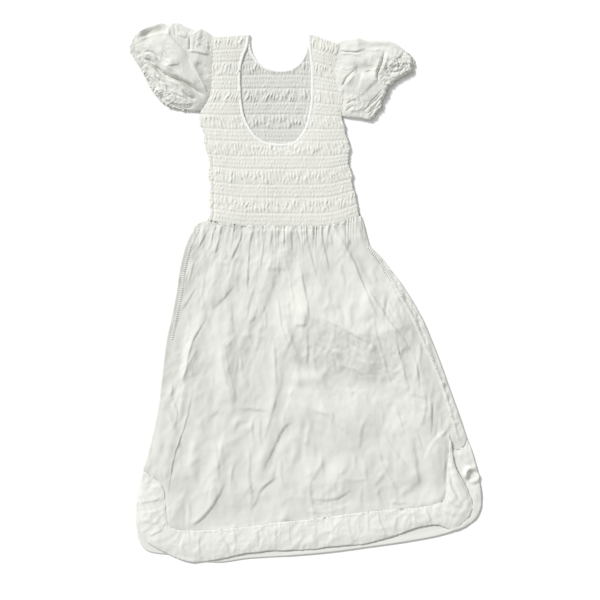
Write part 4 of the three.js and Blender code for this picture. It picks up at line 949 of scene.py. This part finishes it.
def smockRelief(across, level, seed):
    form = smocking
    lines = np.asarray(form["lines"], float)
    x = across * form["width"]
    y = level + drift(x, level * 0, form["lineWobble"], seed)
    y = np.clip(y, lines[0] + form["lineMargin"], lines[-1] - form["lineMargin"])
    index = np.clip(np.searchsorted(lines, y) - 1, 0, len(lines) - 2)
    low, high = lines[index], lines[index + 1]
    s = (y - low) / (high - low)
    bandLong = np.sin(math.pi * s)
    ownPhase, ownSize = (x + index * shift for shift in form["noiseShifts"])  # each band has its own noise
    quick, slow = form["gatherDrift"]
    drifted = drift(ownPhase, y, quick, seed) + drift(x, y, slow, seed)
    phase = across * form["gathers"] + drifted + index * form["gatherShift"]
    size = vary(ownSize, y, form["gatherSize"], seed)
    bubbles = crumples(x, y, form["bubbles"], seed) * bandLong ** 0.5
    wide = puffed(phase, form["gatherRound"]) * bandLong ** form["wideRound"] * form["wideHeight"] * size
    finer = puffed(form["narrowGathers"] * phase + form["narrowShift"] * index, form["gatherRound"])
    small = np.abs(np.sin(math.pi * s * form["narrowRows"])) ** form["narrowRound"]
    base, more = form["narrowSize"]
    narrow = finer * small * form["narrowHeight"] * (base + more * size)
    stitchedDown = form["lineDepth"] * bell(np.minimum(s, 1 - s) * (high - low), form["lineWidth"])
    isWide = index % 2 == 1
    return np.where(isWide, wide + bubbles * form["wideBubbles"], narrow + bubbles) - stitchedDown


def insideNeck(points, x, y):
    openEnds = [(points[-1][0], smocking["above"]), (points[0][0], smocking["above"])]
    ring = np.vstack([splinePoints(points, steps["neckInside"]), openEnds])
    inside = np.zeros(x.shape, bool)
    for k in range(len(ring)):
        (ax, ay), (bx, by) = ring[k - 1], ring[k]
        crossing = (ay > y) != (by > y)
        at = (bx - ax) * (y - ay) / (by - ay if by != ay else 1e-9) + ax
        inside ^= crossing & (x < at)
    return inside


def bodicePanel(name, columns, rows, neck, base, relief, material, seed):
    form, thickness = smocking, cloth["smocked"]
    uu = np.linspace(0, 1, columns)
    vv = np.linspace(0, 1, rows)
    x, y = patch(waistAt, alongLength(outline["shoulder"]), alongHeight(outline["bodiceLeft"]),
                 alongHeight(outline["bodiceRight"]), uu, vv)
    middleX = (x[:-1, :-1] + x[1:, 1:]) / 2
    middleY = (y[:-1, :-1] + y[1:, 1:]) / 2
    keep = ~insideNeck(neck, middleX, middleY)
    level = mix(form["low"], form["high"], vv[:, None]) + 0 * x
    across = uu[None, :] + 0 * x
    toSide = np.minimum(across, 1 - across)
    aboveWaist = level - form["low"]
    drawnIn = form["sideWave"] * waves(level - form["sideWaveY"], form["sideWavePitch"])
    drawnIn = drawnIn + drift(level, level * 0, form["sideDrift"], seed)
    x = x + drawnIn * np.exp(-toSide * form["width"] / form["sideReach"]) * np.where(across > 0.5, 1, -1)
    z = base(x, y) + relief(x, y) * smockRelief(across, level, seed)
    z = z - form["waistDip"] * np.exp(-aboveWaist / form["dipReach"])
    seamAt = form["seamInset"] + drift(level, level * 0, form["seamDrift"], seed)
    seam = bell(across * form["width"] - seamAt, form["seamWidth"])
    z = z - form["seamDepth"] * seam * (1 - smooth((level - form["seamTo"]) / form["seamFade"]))
    rippled = bell(toSide * columns, form["edgeColumns"]) * waves(y, form["edgeRipplePitch"])
    z = z + form["edgeRipple"] * rippled
    low, soft = thickness + form["clear"], form["softFloor"]
    z = low + soft * np.logaddexp(0, (z - low) / soft)
    y = y - form["waistLap"] * np.exp(-aboveWaist / form["lapReach"])  # the bodice laps over the seam
    return shell(name, np.dstack([x, y, z]), thickness, material, keep=keep)


def nearNeck(x, y, reach):
    return np.exp(-distanceTo(neckRing, x, y, closed=False) / reach)


frontPanel = dict(lift=0.2, unevenSize=55, uneven=1.4)
backPanel = dict(lift=1.3, rise=1.3, riseReach=8, inside=1.45, pressed=0.6, pressReach=6, press=0.6)


def frontBodiceBase(x, y):
    uneven = frontPanel["uneven"] * latticeNoise(x, y, frontPanel["unevenSize"], 41)
    return frontSeat(x, y) + wall["smocked"] + frontPanel["lift"] + uneven


def backBodiceBase(x, y):  # the back rises to meet the front's neckline, and fills it
    fills = np.where(insideNeck(neckline["front"], x, y), 1, nearNeck(x, y, backPanel["riseReach"]))
    return backPanel["lift"] + backPanel["rise"] * fills


def backBodiceRelief(x, y):  # full inside the neckline, pressed flatter under the front
    full = np.where(insideNeck(neckline["front"], x, y), backPanel["inside"], backPanel["pressed"])
    return full * (1 - backPanel["press"] * nearNeck(x, y, backPanel["pressReach"]))


bodiceFront = bodicePanel("bodiceFront", smocking["columns"], smocking["rows"], neckline["front"],
                          frontBodiceBase, lambda x, y: 1.0, smockedWhite, 5)
# the back is made in the darker cloth, whose grey is painted shade inside the neckline
bodiceBack = bodicePanel("bodiceBack", smocking["backColumns"], smocking["backRows"], neckline["back"],
                         backBodiceBase, backBodiceRelief, insidePaintedShadeWhite, 17)
print("bodice made")

# Bindings round the two necklines: narrow, rounded, a little drawn up by the smocking

neckBinding = dict(
    width=5.6, stations=300, sides=16, ripplePitch=7.5, widthRipple=0.04, heightRipple=0.12,
    widthDrift=(11, 0, 0.4), flatAcross=0.55, flatUp=0.7, groove=0.45, grooveAt=-0.45, grooveWidth=0.14,
    frontHeights=(0.1, 3.0), backHeights=(0.2, 4.3),
)


def flattened(wave, power):
    return np.abs(wave) ** power * np.sign(wave)


def bindingTube(name, points, seat, heights, seed):
    form = neckBinding
    share = np.linspace(0, 1, form["stations"])
    centre = alongLength(points)(share)
    run = np.gradient(centre, axis=0)
    run /= np.linalg.norm(run, axis=1, keepdims=True)
    length = share * np.linalg.norm(np.diff(splinePoints(points), axis=0), axis=1).sum()
    ripple = waves(length, form["ripplePitch"])
    wider = 1 + form["widthRipple"] * ripple + drift(length, length * 0, form["widthDrift"], seed)
    angle = np.linspace(0, 2 * math.pi, form["sides"], endpoint=False)
    lobe = flattened(np.cos(angle), form["flatAcross"])
    rise = flattened(np.sin(angle), form["flatUp"])
    aside = (form["width"] / 2 * wider)[:, None] * lobe[None]
    x = centre[:, :1] - run[:, 1:] * aside
    y = centre[:, 1:] + run[:, :1] * aside
    level = seat(centre[:, 0], centre[:, 1])
    lowZ, highZ = level + heights[0], level + heights[1] + form["heightRipple"] * ripple
    groove = form["groove"] * bell(lobe - form["grooveAt"], form["grooveWidth"]) * (rise > 0)
    z = mix(lowZ[:, None], highZ[:, None], (rise[None] + 1) / 2) - groove[None]
    p = np.dstack([x, y, z]) * mm
    n, m = p.shape[:2]
    i, j = np.meshgrid(np.arange(n - 1), np.arange(m), indexing="ij")
    k = (j + 1) % m
    quads = np.stack([i * m + j, i * m + k, (i + 1) * m + k, (i + 1) * m + j], -1).reshape(-1, 4)
    strip = np.arange(m // 2 - 1)
    cap = np.stack([strip, strip + 1, m - 2 - strip, m - 1 - strip], 1)
    faces = np.vstack([quads[:, ::-1], cap, cap[:, ::-1] + (n - 1) * m])
    return addMesh(name, p.reshape(-1, 3), faces, bindingWhite)


neckBindingFront = bindingTube("neckBindingFront", neckline["front"], frontSeat,
                               neckBinding["frontHeights"], 101)
neckBindingBack = bindingTube("neckBindingBack", neckline["back"], lambda x, y: 0 * x,
                              neckBinding["backHeights"], 102)
print("bindings made")

# Puff sleeves: flattened tubes, gathered at the armhole and drawn in by elastic above a small frill

sleeveForm = dict(
    rows=150, upper=150, lower=40, tucked=7, edgeHeight=1.6, edgeClear=0.4, edgeZ=1.4, underZ=0.55,
    armholeHeight=4.4, armholeSlope=0.95, cuffSlope=0.45, domeRound=0.4, reliefFrom=0.04,
    planes=(38, 1.8, 1.6), crumpledBase=0.35,  # the planes' size, height and stretch
    crumples=[(22, 2.4, 1.7, 0.0, 12), (10, 1.9, 1.4, 0.0, 13), (5, 1.9, 1.2, 0.0, 14)],
    around=240, gatherHeight=1.3, gatherDrift=(16, 3, 2.4), driftDown=40, sizeDown=30,
    gatherReach=(12, 4, 0.07, 0.3, 0.02, 0.2), gatherSize=(18, 8, 0.6, 1.8, 0.05, 1.6),
    capGathers=15, capAround=150, capDrift=(15, 5, 0.9), capHeight=0.8, capReach=0.06,
    pinch=1.8, pinchWidth=0.014, frillDrop=0.02, frillFrom=0.05,
    frillWaves=1.5, frillHeight=0.7, frillCrumples=[(6, 2.6, 1.0, 0.0, 9)],
    cuffAround=300, cuffDriftX=(8, 6, 6.0), cuffDriftY=(8, 7, 6.0), cuffDriftFrom=0.88,
)
sleeveLeftShape = dict(
    shoulder=(-196, 536), underarmAt=380,
    height=16, cuffHeight=10.5, elasticAt=0.9, frillHeight=8.5,
    crown=[(-198, 541), (-206, 547), (-214, 551), (-221, 554), (-231, 552), (-240, 553), (-248, 557),
           (-256, 560), (-264, 565), (-271, 566), (-278, 567), (-285, 563), (-292, 562), (-299, 565),
           (-306, 566), (-320, 562), (-336, 557), (-344, 552), (-349, 546), (-352, 536)],
    cuff=[(-352, 536), (-366, 521), (-367, 506), (-353, 482), (-339, 458), (-327, 434),
          (-311, 410), (-291, 394), (-266, 386), (-245, 381)],
    underarm=[(-232, 381), (-245, 381)],
    gathers=27, grain=-0.9, foldHeight=1.14,
    crumpled=[((-345, 500), 20, 1.2), ((-322, 452), 22, 1.5), ((-296, 416), 26, 1.7),
              ((-228, 535), 24, 1.2), ((-252, 392), 22, 0.8), ((-290, 500), 14, 0.3)],
    folds=[
        # the crown turned over at the top, dark behind its edge
        ("soft", 8, 12.0, [(-356, 530), (-349, 546), (-336, 557), (-302, 566), (-286, 562)]),
        ("soft", 11, -11.0, [(-346, 532), (-326, 542), (-304, 548), (-286, 550)]),
        ("sharp", 5, 6.0, [(-352, 528), (-330, 536), (-306, 542), (-290, 542), (-284, 534)]),
        # the long fold from the crown to the underarm
        ("lap", 12, 7.0, [(-302, 566), (-289, 555), (-285, 539), (-274, 524), (-257, 506), (-238, 487)]),
        ("sharp", 6, 4.0, [(-246, 496), (-238, 484), (-226, 460), (-213, 433), (-204, 414)]),
        ("soft", 9, -3.0, [(-228, 484), (-216, 468), (-208, 446)]),
        # the gathered flap against the armhole
        ("lap", 7, 6.5, [(-247, 507), (-222, 504), (-198, 500)]),
        ("soft", 1.9, -5.5, [(-242, 538), (-242, 521), (-243, 505)]),
        ("soft", 1.8, -3.0, [(-231, 536), (-230, 526), (-233, 512)]),
        ("lap", 4, 3.0, [(-222, 542), (-225, 528), (-220, 516)]),
        ("soft", 1.8, -3.4, [(-213, 539), (-217, 532), (-212, 520)]),
        ("sharp", 3, 3.0, [(-209, 530), (-204, 522), (-207, 512)]),
        ("soft", 1.8, -3.0, [(-203, 528), (-201, 516), (-200, 506)]),
        ("sharp", 3.5, 3.4, [(-250, 550), (-234, 541), (-221, 551), (-206, 543), (-197, 528)]),
        ("soft", 2.0, -4.0, [(-275, 565), (-273, 550), (-271, 534)]),
        ("lap", 4, 4.0, [(-268, 543), (-257, 538), (-246, 535)]),
        ("soft", 1.9, -3.4, [(-268, 562), (-261, 549), (-253, 546)]),
        ("sharp", 3.5, 3.0, [(-262, 558), (-250, 556), (-238, 552)]),
        # the long plane and its small creases
        ("sharp", 7, 3.2, [(-336, 528), (-320, 504), (-302, 478)]),
        ("lap", 5, 2.6, [(-304, 517), (-292, 497), (-272, 481)]),
        ("sharp", 5, 2.2, [(-318, 520), (-298, 500), (-280, 484), (-262, 468)]),
        ("lap", 4, 2.0, [(-308, 502), (-290, 486), (-272, 468), (-250, 452)]),
        ("sharp", 4, 2.2, [(-291, 518), (-282, 506), (-272, 498)]),
        ("soft", 1.9, -2.4, [(-301, 508), (-295, 494), (-279, 484)]),
        ("lap", 5, 2.6, [(-292, 474), (-278, 477), (-262, 479)]),
        # the bubble at the head of the deep crease
        ("sharp", 4, 3.4, [(-338, 496), (-326, 499), (-315, 492), (-310, 482)]),
        ("soft", 2.2, -5.5, [(-341, 500), (-328, 505), (-314, 499), (-305, 486)]),
        ("soft", 2.4, -5.0, [(-340, 489), (-326, 487), (-312, 478)]),
        # the deep crease across the sleeve, with a crest along each side
        ("soft", 4.2, -14.0, [(-334, 488), (-316, 474), (-300, 460), (-288, 453), (-272, 449), (-250, 437),
                              (-226, 420), (-206, 405)]),
        ("sharp", 12, 6.0, [(-306, 482), (-280, 468), (-248, 447), (-212, 420)]),
        ("sharp", 8, 6.0, [(-296, 444), (-276, 441), (-252, 427), (-228, 408)]),
        # below it
        ("lap", 6, 3.4, [(-296, 444), (-286, 418), (-258, 403)]),
        ("soft", 2.2, -4.0, [(-309, 442), (-294, 420), (-278, 406)]),
        ("sharp", 5, 2.6, [(-270, 438), (-251, 420), (-232, 408)]),
        ("soft", 2.2, -3.4, [(-258, 425), (-246, 412), (-228, 403)]),
        ("lap", 5, 4.0, [(-284, 403), (-258, 396), (-228, 399)]),
        ("soft", 1.9, -3.4, [(-266, 392), (-248, 388), (-232, 391)]),
        ("sharp", 4, 3.4, [(-320, 458), (-300, 446), (-293, 426), (-280, 408)]),
        ("soft", 1.7, -3.4, [(-316, 452), (-299, 440), (-291, 420)]),
        ("sharp", 4, 3.0, [(-316, 431), (-298, 413), (-284, 402), (-268, 396)]),
        ("soft", 1.7, -3.2, [(-312, 424), (-296, 407), (-280, 397)]),
        ("lap", 4, 2.6, [(-290, 432), (-272, 418), (-246, 408)]),
    ],
)
sleeveRightShape = dict(
    shoulder=(69, 521), underarmAt=372,
    height=14, cuffHeight=12, elasticAt=0.955, frillHeight=4,
    crown=[(72, 526), (81, 530), (92, 532), (103, 535), (112, 535), (124, 530), (138, 529), (151, 529),
           (165, 529), (176, 528), (189, 523), (202, 514), (215, 503)],
    cuff=[(215, 503), (226, 490), (229, 477), (227, 463), (212, 454), (197, 446), (184, 435), (174, 425),
          (171, 414), (163, 401), (162, 390), (152, 376), (138, 363), (116, 368)],
    underarm=[(92, 367), (116, 368)],
    gathers=27, grain=-0.5, foldHeight=0.85,
    crumpled=[((204, 486), 30, 2.4), ((178, 468), 22, 1.8), ((214, 466), 18, 1.4),
              ((100, 394), 22, 1.0), ((134, 374), 18, 0.8), ((168, 440), 16, 0.8)],
    folds=[
        # the top turned over, dark under its edge
        ("lap", 8, 5.5, [(68, 512), (88, 508), (106, 507), (122, 512), (134, 518)]),
        ("soft", 2.2, -3.4, [(70, 508), (88, 504), (106, 503), (120, 508)]),
        ("sharp", 6, 3.0, [(80, 526), (112, 531), (150, 527), (188, 521)]),
        ("soft", 6, -5.5, [(112, 521), (140, 516), (166, 517), (190, 511)]),
        ("lap", 6, 4.0, [(122, 511), (140, 508), (160, 510)]),
        ("sharp", 5, 2.4, [(84, 516), (100, 522), (116, 518)]),
        # the hollow, and the plane that rises out of it
        ("soft", 13, -8.5, [(98, 468), (122, 465), (146, 475)]),
        ("lap", 6, 3.0, [(70, 502), (94, 500), (118, 496)]),
        ("soft", 2.2, -5.0, [(75, 428), (86, 449), (96, 459), (106, 470)]),
        ("sharp", 9, 4.4, [(84, 432), (100, 451), (116, 462)]),
        ("sharp", 5, 2.6, [(72, 474), (88, 468), (102, 474)]),
        ("lap", 6, 3.4, [(118, 460), (130, 466), (138, 466), (145, 456), (150, 448)]),
        ("soft", 24, 3.6, [(112, 446), (128, 440), (140, 430)]),
        # the upright crease beside the gathers
        ("soft", 2.3, -6.5, [(168, 512), (161, 484), (151, 456), (154, 436)]),
        ("sharp", 6, 3.4, [(158, 502), (152, 480), (143, 458)]),
        ("sharp", 6, 3.4, [(175, 508), (169, 484), (158, 456)]),
        ("lap", 4, 3.0, [(190, 506), (186, 488), (176, 468)]),
        ("turn", 4, 3.0, [(208, 500), (204, 486), (194, 470)]),
        ("soft", 1.9, -3.0, [(216, 492), (212, 476), (202, 462)]),
        ("soft", 1.9, -3.0, [(182, 494), (196, 486), (216, 482)]),
        # above the cuff
        ("sharp", 5, 3.2, [(80, 402), (98, 411), (116, 404)]),
        ("soft", 2.0, -3.6, [(84, 394), (102, 403), (112, 397)]),
        ("soft", 2.0, -3.6, [(110, 412), (119, 394)]),
        ("sharp", 5, 3.0, [(90, 384), (108, 382), (124, 392)]),
        ("soft", 2.0, -3.6, [(82, 379), (100, 390), (112, 387)]),
        ("soft", 1.7, -3.6, [(120, 376), (132, 390), (148, 404), (164, 420)]),
        ("soft", 1.5, -3.2, [(126, 372), (142, 384), (152, 400), (166, 412)]),
        ("soft", 1.5, -3.2, [(134, 368), (146, 384), (160, 396), (167, 404)]),
        ("soft", 1.5, -3.0, [(144, 368), (150, 380), (162, 390)]),
        ("soft", 1.5, -2.8, [(128, 384), (136, 398), (150, 412), (164, 428)]),
    ],
)


def armholeAt(side, shoulderY, underarmY):
    dense = splinePoints(outline[side])
    tucked = sleeveForm["tucked"] * (1 if side == "bodiceLeft" else -1)  # under the bodice's edge

    def at(share):
        y = mix(shoulderY, underarmY, np.asarray(share))
        return np.stack([np.interp(y, dense[:, 1], dense[:, 0]) + tucked, y], axis=-1)
    return at


def sleeve(name, shape, side, seed):
    form = sleeveForm
    armhole = armholeAt(side, shape["shoulder"][1], shape["underarmAt"])
    crown = alongLength([tuple(armhole(0.0)), *shape["crown"]])
    under = alongLength([tuple(armhole(1.0)), *shape["underarm"]])
    cuff = alongLength(shape["cuff"])
    s = np.linspace(0, 1, form["rows"])
    upperT = np.linspace(0, 1, form["upper"])
    lowerT = np.linspace(1, 0, form["lower"] + 2)[1:-1]
    t = np.concatenate([upperT, lowerT])
    isUpper = np.arange(len(t)) < form["upper"]
    gx, gy = patch(armhole, cuff, crown, under, t, s)
    ss = s[:, None] + 0 * gx
    tt = t[None, :] + 0 * gx
    elastic = shape["elasticAt"]
    slope = np.where(ss < elastic / 2, form["armholeSlope"], form["cuffSlope"])
    swell = np.sin(math.pi * np.clip(ss / elastic, 0, 1)) ** slope
    ends = mix(form["armholeHeight"], shape["cuffHeight"], ss)
    frillZ = mix(shape["cuffHeight"], shape["frillHeight"], smooth((ss - elastic) / form["frillDrop"]))
    puff = np.where(ss > elastic, frillZ, ends + (shape["height"] - ends) * swell)
    dome = np.clip(np.sin(math.pi * tt), 0, 1) ** form["domeRound"]

    size, height, stretch = form["planes"]
    planes = height * facets(gx, gy, size, seed, stretch, shape["grain"])
    folds = shape["foldHeight"] * foldField(gx, gy, shape["folds"])
    strength = patchStrength(gx, gy, shape["crumpled"], form["crumpledBase"])
    fine = crumples(gx, gy, form["crumples"], seed, shape["grain"]) * strength

    around = tt * form["around"]
    phase = shape["gathers"] * tt + drift(around, ss * form["driftDown"], form["gatherDrift"], seed)
    reach = vary(around, ss * 0, form["gatherReach"], seed)
    gatherSize = vary(around, ss * form["sizeDown"], form["gatherSize"], seed)
    toCuff = np.exp(-np.clip(elastic - ss, 0, None) / reach)
    capPhase = form["capGathers"] * tt + drift(tt * form["capAround"], ss * 0, form["capDrift"], seed)
    gathers = (form["gatherHeight"] * waves(phase) * toCuff
               + form["capHeight"] * waves(capPhase) * np.exp(-ss / form["capReach"])) * gatherSize

    pinch = form["pinch"] * bell(ss - elastic, form["pinchWidth"])
    frill = form["frillHeight"] * np.sin(2 * math.pi * form["frillWaves"] * phase)
    frill = frill + crumples(gx, gy, form["frillCrumples"], seed)
    frill = np.where(ss > elastic, frill * smooth((ss - elastic) / form["frillFrom"]), 0)
    relief = (folds + planes + fine + gathers) * smooth(ss / form["reliefFrom"]) - pinch + frill
    z = form["edgeHeight"] + (puff - form["edgeHeight"] + relief) * dome
    z = np.maximum(z, form["edgeHeight"] + form["edgeClear"])
    z = np.where(isUpper[None, :], z, form["underZ"])
    z[:, 0], z[:, form["upper"] - 1] = form["edgeZ"], form["edgeZ"]
    atCuff = smooth((ss - form["cuffDriftFrom"]) / (1 - form["cuffDriftFrom"]))
    cuffAround = tt * form["cuffAround"]
    gx = gx + drift(cuffAround, ss * 0, form["cuffDriftX"], seed) * atCuff
    gy = gy + drift(cuffAround, ss * 0, form["cuffDriftY"], seed) * atCuff
    outward = 1 if side == "bodiceLeft" else -1
    return shell(name, np.dstack([gx, gy, z]), cloth["single"], cottonWhite, ringed=True, outward=outward)


sleeveLeft = sleeve("sleeveLeft", sleeveLeftShape, "bodiceLeft", 201)
sleeveRight = sleeve("sleeveRight", sleeveRightShape, "bodiceRight", 231)
print("sleeves made")

# Sewing: overlocked side seams and rows of topstitching, laid on the cloth

sewing = dict(
    overlockPitch=4.4, overlockWidth=6.4, overlockThread=0.9, overlockLift=0.1, overlockLean=0.8,
    rightInset=-1.2, leftInset=7.0,
    stitchPitch=2.6, stitchLength=1.8, stitchThread=0.336, seamStitch=-3.0, hemStitch=0.93,
    waistStitch=-2.6, endGap=0.004, ahead=0.001, nearest=3, softening=0.05, edgeColumns=40,
    profile=[(0.0, 0.35, -0.4), (0.25, 1.0, 1.1), (0.75, 1.0, 1.1), (1.0, 0.35, -0.4)],
)  # a thread's profile is the share of its length, its thickness there and its rise, both in radii


def threadRow(name, starts, ends, heights, radius):
    starts, ends = np.asarray(starts), np.asarray(ends)
    run = ends - starts
    length = np.linalg.norm(run, axis=1, keepdims=True)
    run = run / np.maximum(length, 1e-6)
    aside = np.stack([-run[:, 1], run[:, 0]], 1) * radius
    rings = []
    for t, size, rise in sewing["profile"]:
        centre = mix(starts, ends, t)
        z = mix(heights[0], heights[1], t) + rise * radius
        for a, b in ((1, 0), (0, 1), (-1, 0), (0, -1)):
            rings.append(np.column_stack([centre + aside * size * a, z + radius * size * b]))
    p = np.stack(rings, 1) * mm
    count = len(starts)
    quads = []
    for r in range(3):
        for k in range(4):
            m = (k + 1) % 4
            quads.append([r * 4 + k, r * 4 + m, (r + 1) * 4 + m, (r + 1) * 4 + k])
    quads += [[0, 3, 2, 1], [12, 13, 14, 15]]
    quads = np.asarray(quads)
    faces = (quads[None] + (np.arange(count) * 16)[:, None, None]).reshape(-1, 4)[:, ::-1]
    return addMesh(name, p.reshape(-1, 3), faces, threadWhite)


def evenlySpaced(points, pitch):
    line = splinePoints(points)
    length = np.linalg.norm(np.diff(line, axis=0), axis=1).sum()
    share = np.linspace(sewing["endGap"], 1 - sewing["endGap"], int(length / pitch))
    at = alongLength(points)
    here, there = at(share), at(np.minimum(share + sewing["ahead"], 1))
    run = there - here
    run /= np.linalg.norm(run, axis=1, keepdims=True)
    return here, run, np.stack([-run[:, 1], run[:, 0]], 1)


class Height:  # height of a made grid at any plan point, by its nearest grid points
    def __init__(self, x, y, z):
        self.z = z.ravel()
        self.tree = KDTree(x.size)
        for k, (a, b) in enumerate(zip(x.ravel(), y.ravel())):
            self.tree.insert((a, b, 0), k)
        self.tree.balance()

    def at(self, points):
        found = []
        for a, b in points:
            near = self.tree.find_n((a, b, 0), sewing["nearest"])
            weights = [1 / (d + sewing["softening"]) for _, _, d in near]
            found.append(sum(self.z[k] * w for (_, k, _), w in zip(near, weights)) / sum(weights))
        return np.asarray(found)


frontHeight = Height(skirtX, skirtY, skirtZ)
sideGrids = [np.concatenate([front[:, -sewing["edgeColumns"]:].ravel(), back.ravel()])
             for front, back in ((skirtX, wrapX), (skirtY, wrapY), (skirtZ, wrapZ))]
sideHeight = Height(*sideGrids)
bandHeight = Height(hemX, hemY, hemZ)


def overlock(name, points, height, inset):
    here, run, left = evenlySpaced(points, sewing["overlockPitch"])
    inner = here + left * inset
    outer = inner + left * math.copysign(sewing["overlockWidth"], inset) + run * sewing["overlockLean"]
    heights = [height.at(end) + sewing["overlockLift"] for end in (inner, outer)]
    return threadRow(name, inner, outer, heights, sewing["overlockThread"])


def topstitch(name, points, height, aside):
    here, run, left = evenlySpaced(points, sewing["stitchPitch"])
    start = here + left * aside
    end = start + run * sewing["stitchLength"]
    return threadRow(name, start, end, (height.at(start), height.at(end)), sewing["stitchThread"])


overlockRight = overlock("overlockRight", backSheet["ladder"], sideHeight, sewing["rightInset"])
overlockLeft = overlock("overlockLeft", outline["skirtLeft"][2:11], frontHeight, sewing["leftInset"])
seamPath = [(r[0], r[1]) for r in band["front"]]
hemShare = sewing["hemStitch"]
hemPath = [(mix(r[0], r[2], hemShare), mix(r[1], r[3], hemShare)) for r in band["front"]]
seamStitchFront = topstitch("seamStitchFront", seamPath, bandHeight, sewing["seamStitch"])
hemStitchFront = topstitch("hemStitchFront", hemPath, bandHeight, 0.0)
waistStitch = topstitch("waistStitch", outline["waist"], frontHeight, sewing["waistStitch"])
print("sewing made")

# Floor, light and camera

studio = dict(
    floor=(0.93, 0.93, 0.925), floorReach=6, floorDrop=0.0004, floorRoughness=0.9, floorSpecular=0.1,
    sunStrength=3.25, sunSoftness=12, sunFrom=(-0.56, 0.56, 0.57), world=0.54,
    cameraHeight=3.6, frameWidth=1.26, aim=(-0.0111, -0.0152), sensor=36,
)
far = studio["floorReach"]
floorMesh = bpy.data.meshes.new("floor")
floorMesh.from_pydata([(-far, -far, 0), (far, -far, 0), (far, far, 0), (-far, far, 0)], [], [(0, 1, 2, 3)])
floor = bpy.data.objects.new("floor", floorMesh)
bpy.context.scene.collection.objects.link(floor)
floor.location.z = -studio["floorDrop"]
floorMaterial = bpy.data.materials.new("palePaper")
floorMaterial.use_nodes = True
floorShader = floorMaterial.node_tree.nodes["Principled BSDF"]
floorShader.inputs["Base Color"].default_value = (*studio["floor"], 1)
floorShader.inputs["Roughness"].default_value = studio["floorRoughness"]
floorShader.inputs["Specular IOR Level"].default_value = studio["floorSpecular"]
floorMesh.materials.append(floorMaterial)

sunData = bpy.data.lights.new("windowSun", "SUN")
sunData.energy = studio["sunStrength"]
sunData.angle = math.radians(studio["sunSoftness"])
sun = bpy.data.objects.new("windowSun", sunData)
sun.rotation_mode = "QUATERNION"
sun.rotation_quaternion = Vector(studio["sunFrom"]).to_track_quat("Z", "Y")
bpy.context.scene.collection.objects.link(sun)
world = bpy.data.worlds.new("studioSky")
world.use_nodes = True
sky = world.node_tree.nodes["Background"]
sky.inputs["Color"].default_value = (1, 1, 1, 1)
sky.inputs["Strength"].default_value = studio["world"]
bpy.context.scene.world = world

cameraData = bpy.data.cameras.new("overhead")
camera = bpy.data.objects.new("overhead", cameraData)
cameraData.sensor_width = studio["sensor"]
cameraData.lens = cameraData.sensor_width * studio["cameraHeight"] / studio["frameWidth"]
camera.location = (*studio["aim"], studio["cameraHeight"])
bpy.context.scene.collection.objects.link(camera)
bpy.context.scene.camera = camera
bpy.context.scene.view_settings.view_transform = "Standard"

# What each piece stands for, and the cloth that it was cut from

pieces = [
    (skirtFront, "skirt_front", "cotton"), (skirtBack, "skirt_back", "cotton"),
    (hemBandFront, "hem_band_front", "doubled_cotton"), (hemBandBack, "hem_band_back", "doubled_cotton"),
    (bodiceFront, "bodice_front", "smocked_cotton"), (bodiceBack, "bodice_back", "smocked_cotton"),
    (neckBindingFront, "neck_binding_front", "binding"), (neckBindingBack, "neck_binding_back", "binding"),
    (sleeveLeft, "sleeve_left", "cotton"), (sleeveRight, "sleeve_right", "cotton"),
]
for piece, node, slot in pieces:
    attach(piece, "root")
    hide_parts(node)
for piece in (overlockRight, overlockLeft, seamStitchFront, hemStitchFront, waistStitch):
    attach(piece, "root")
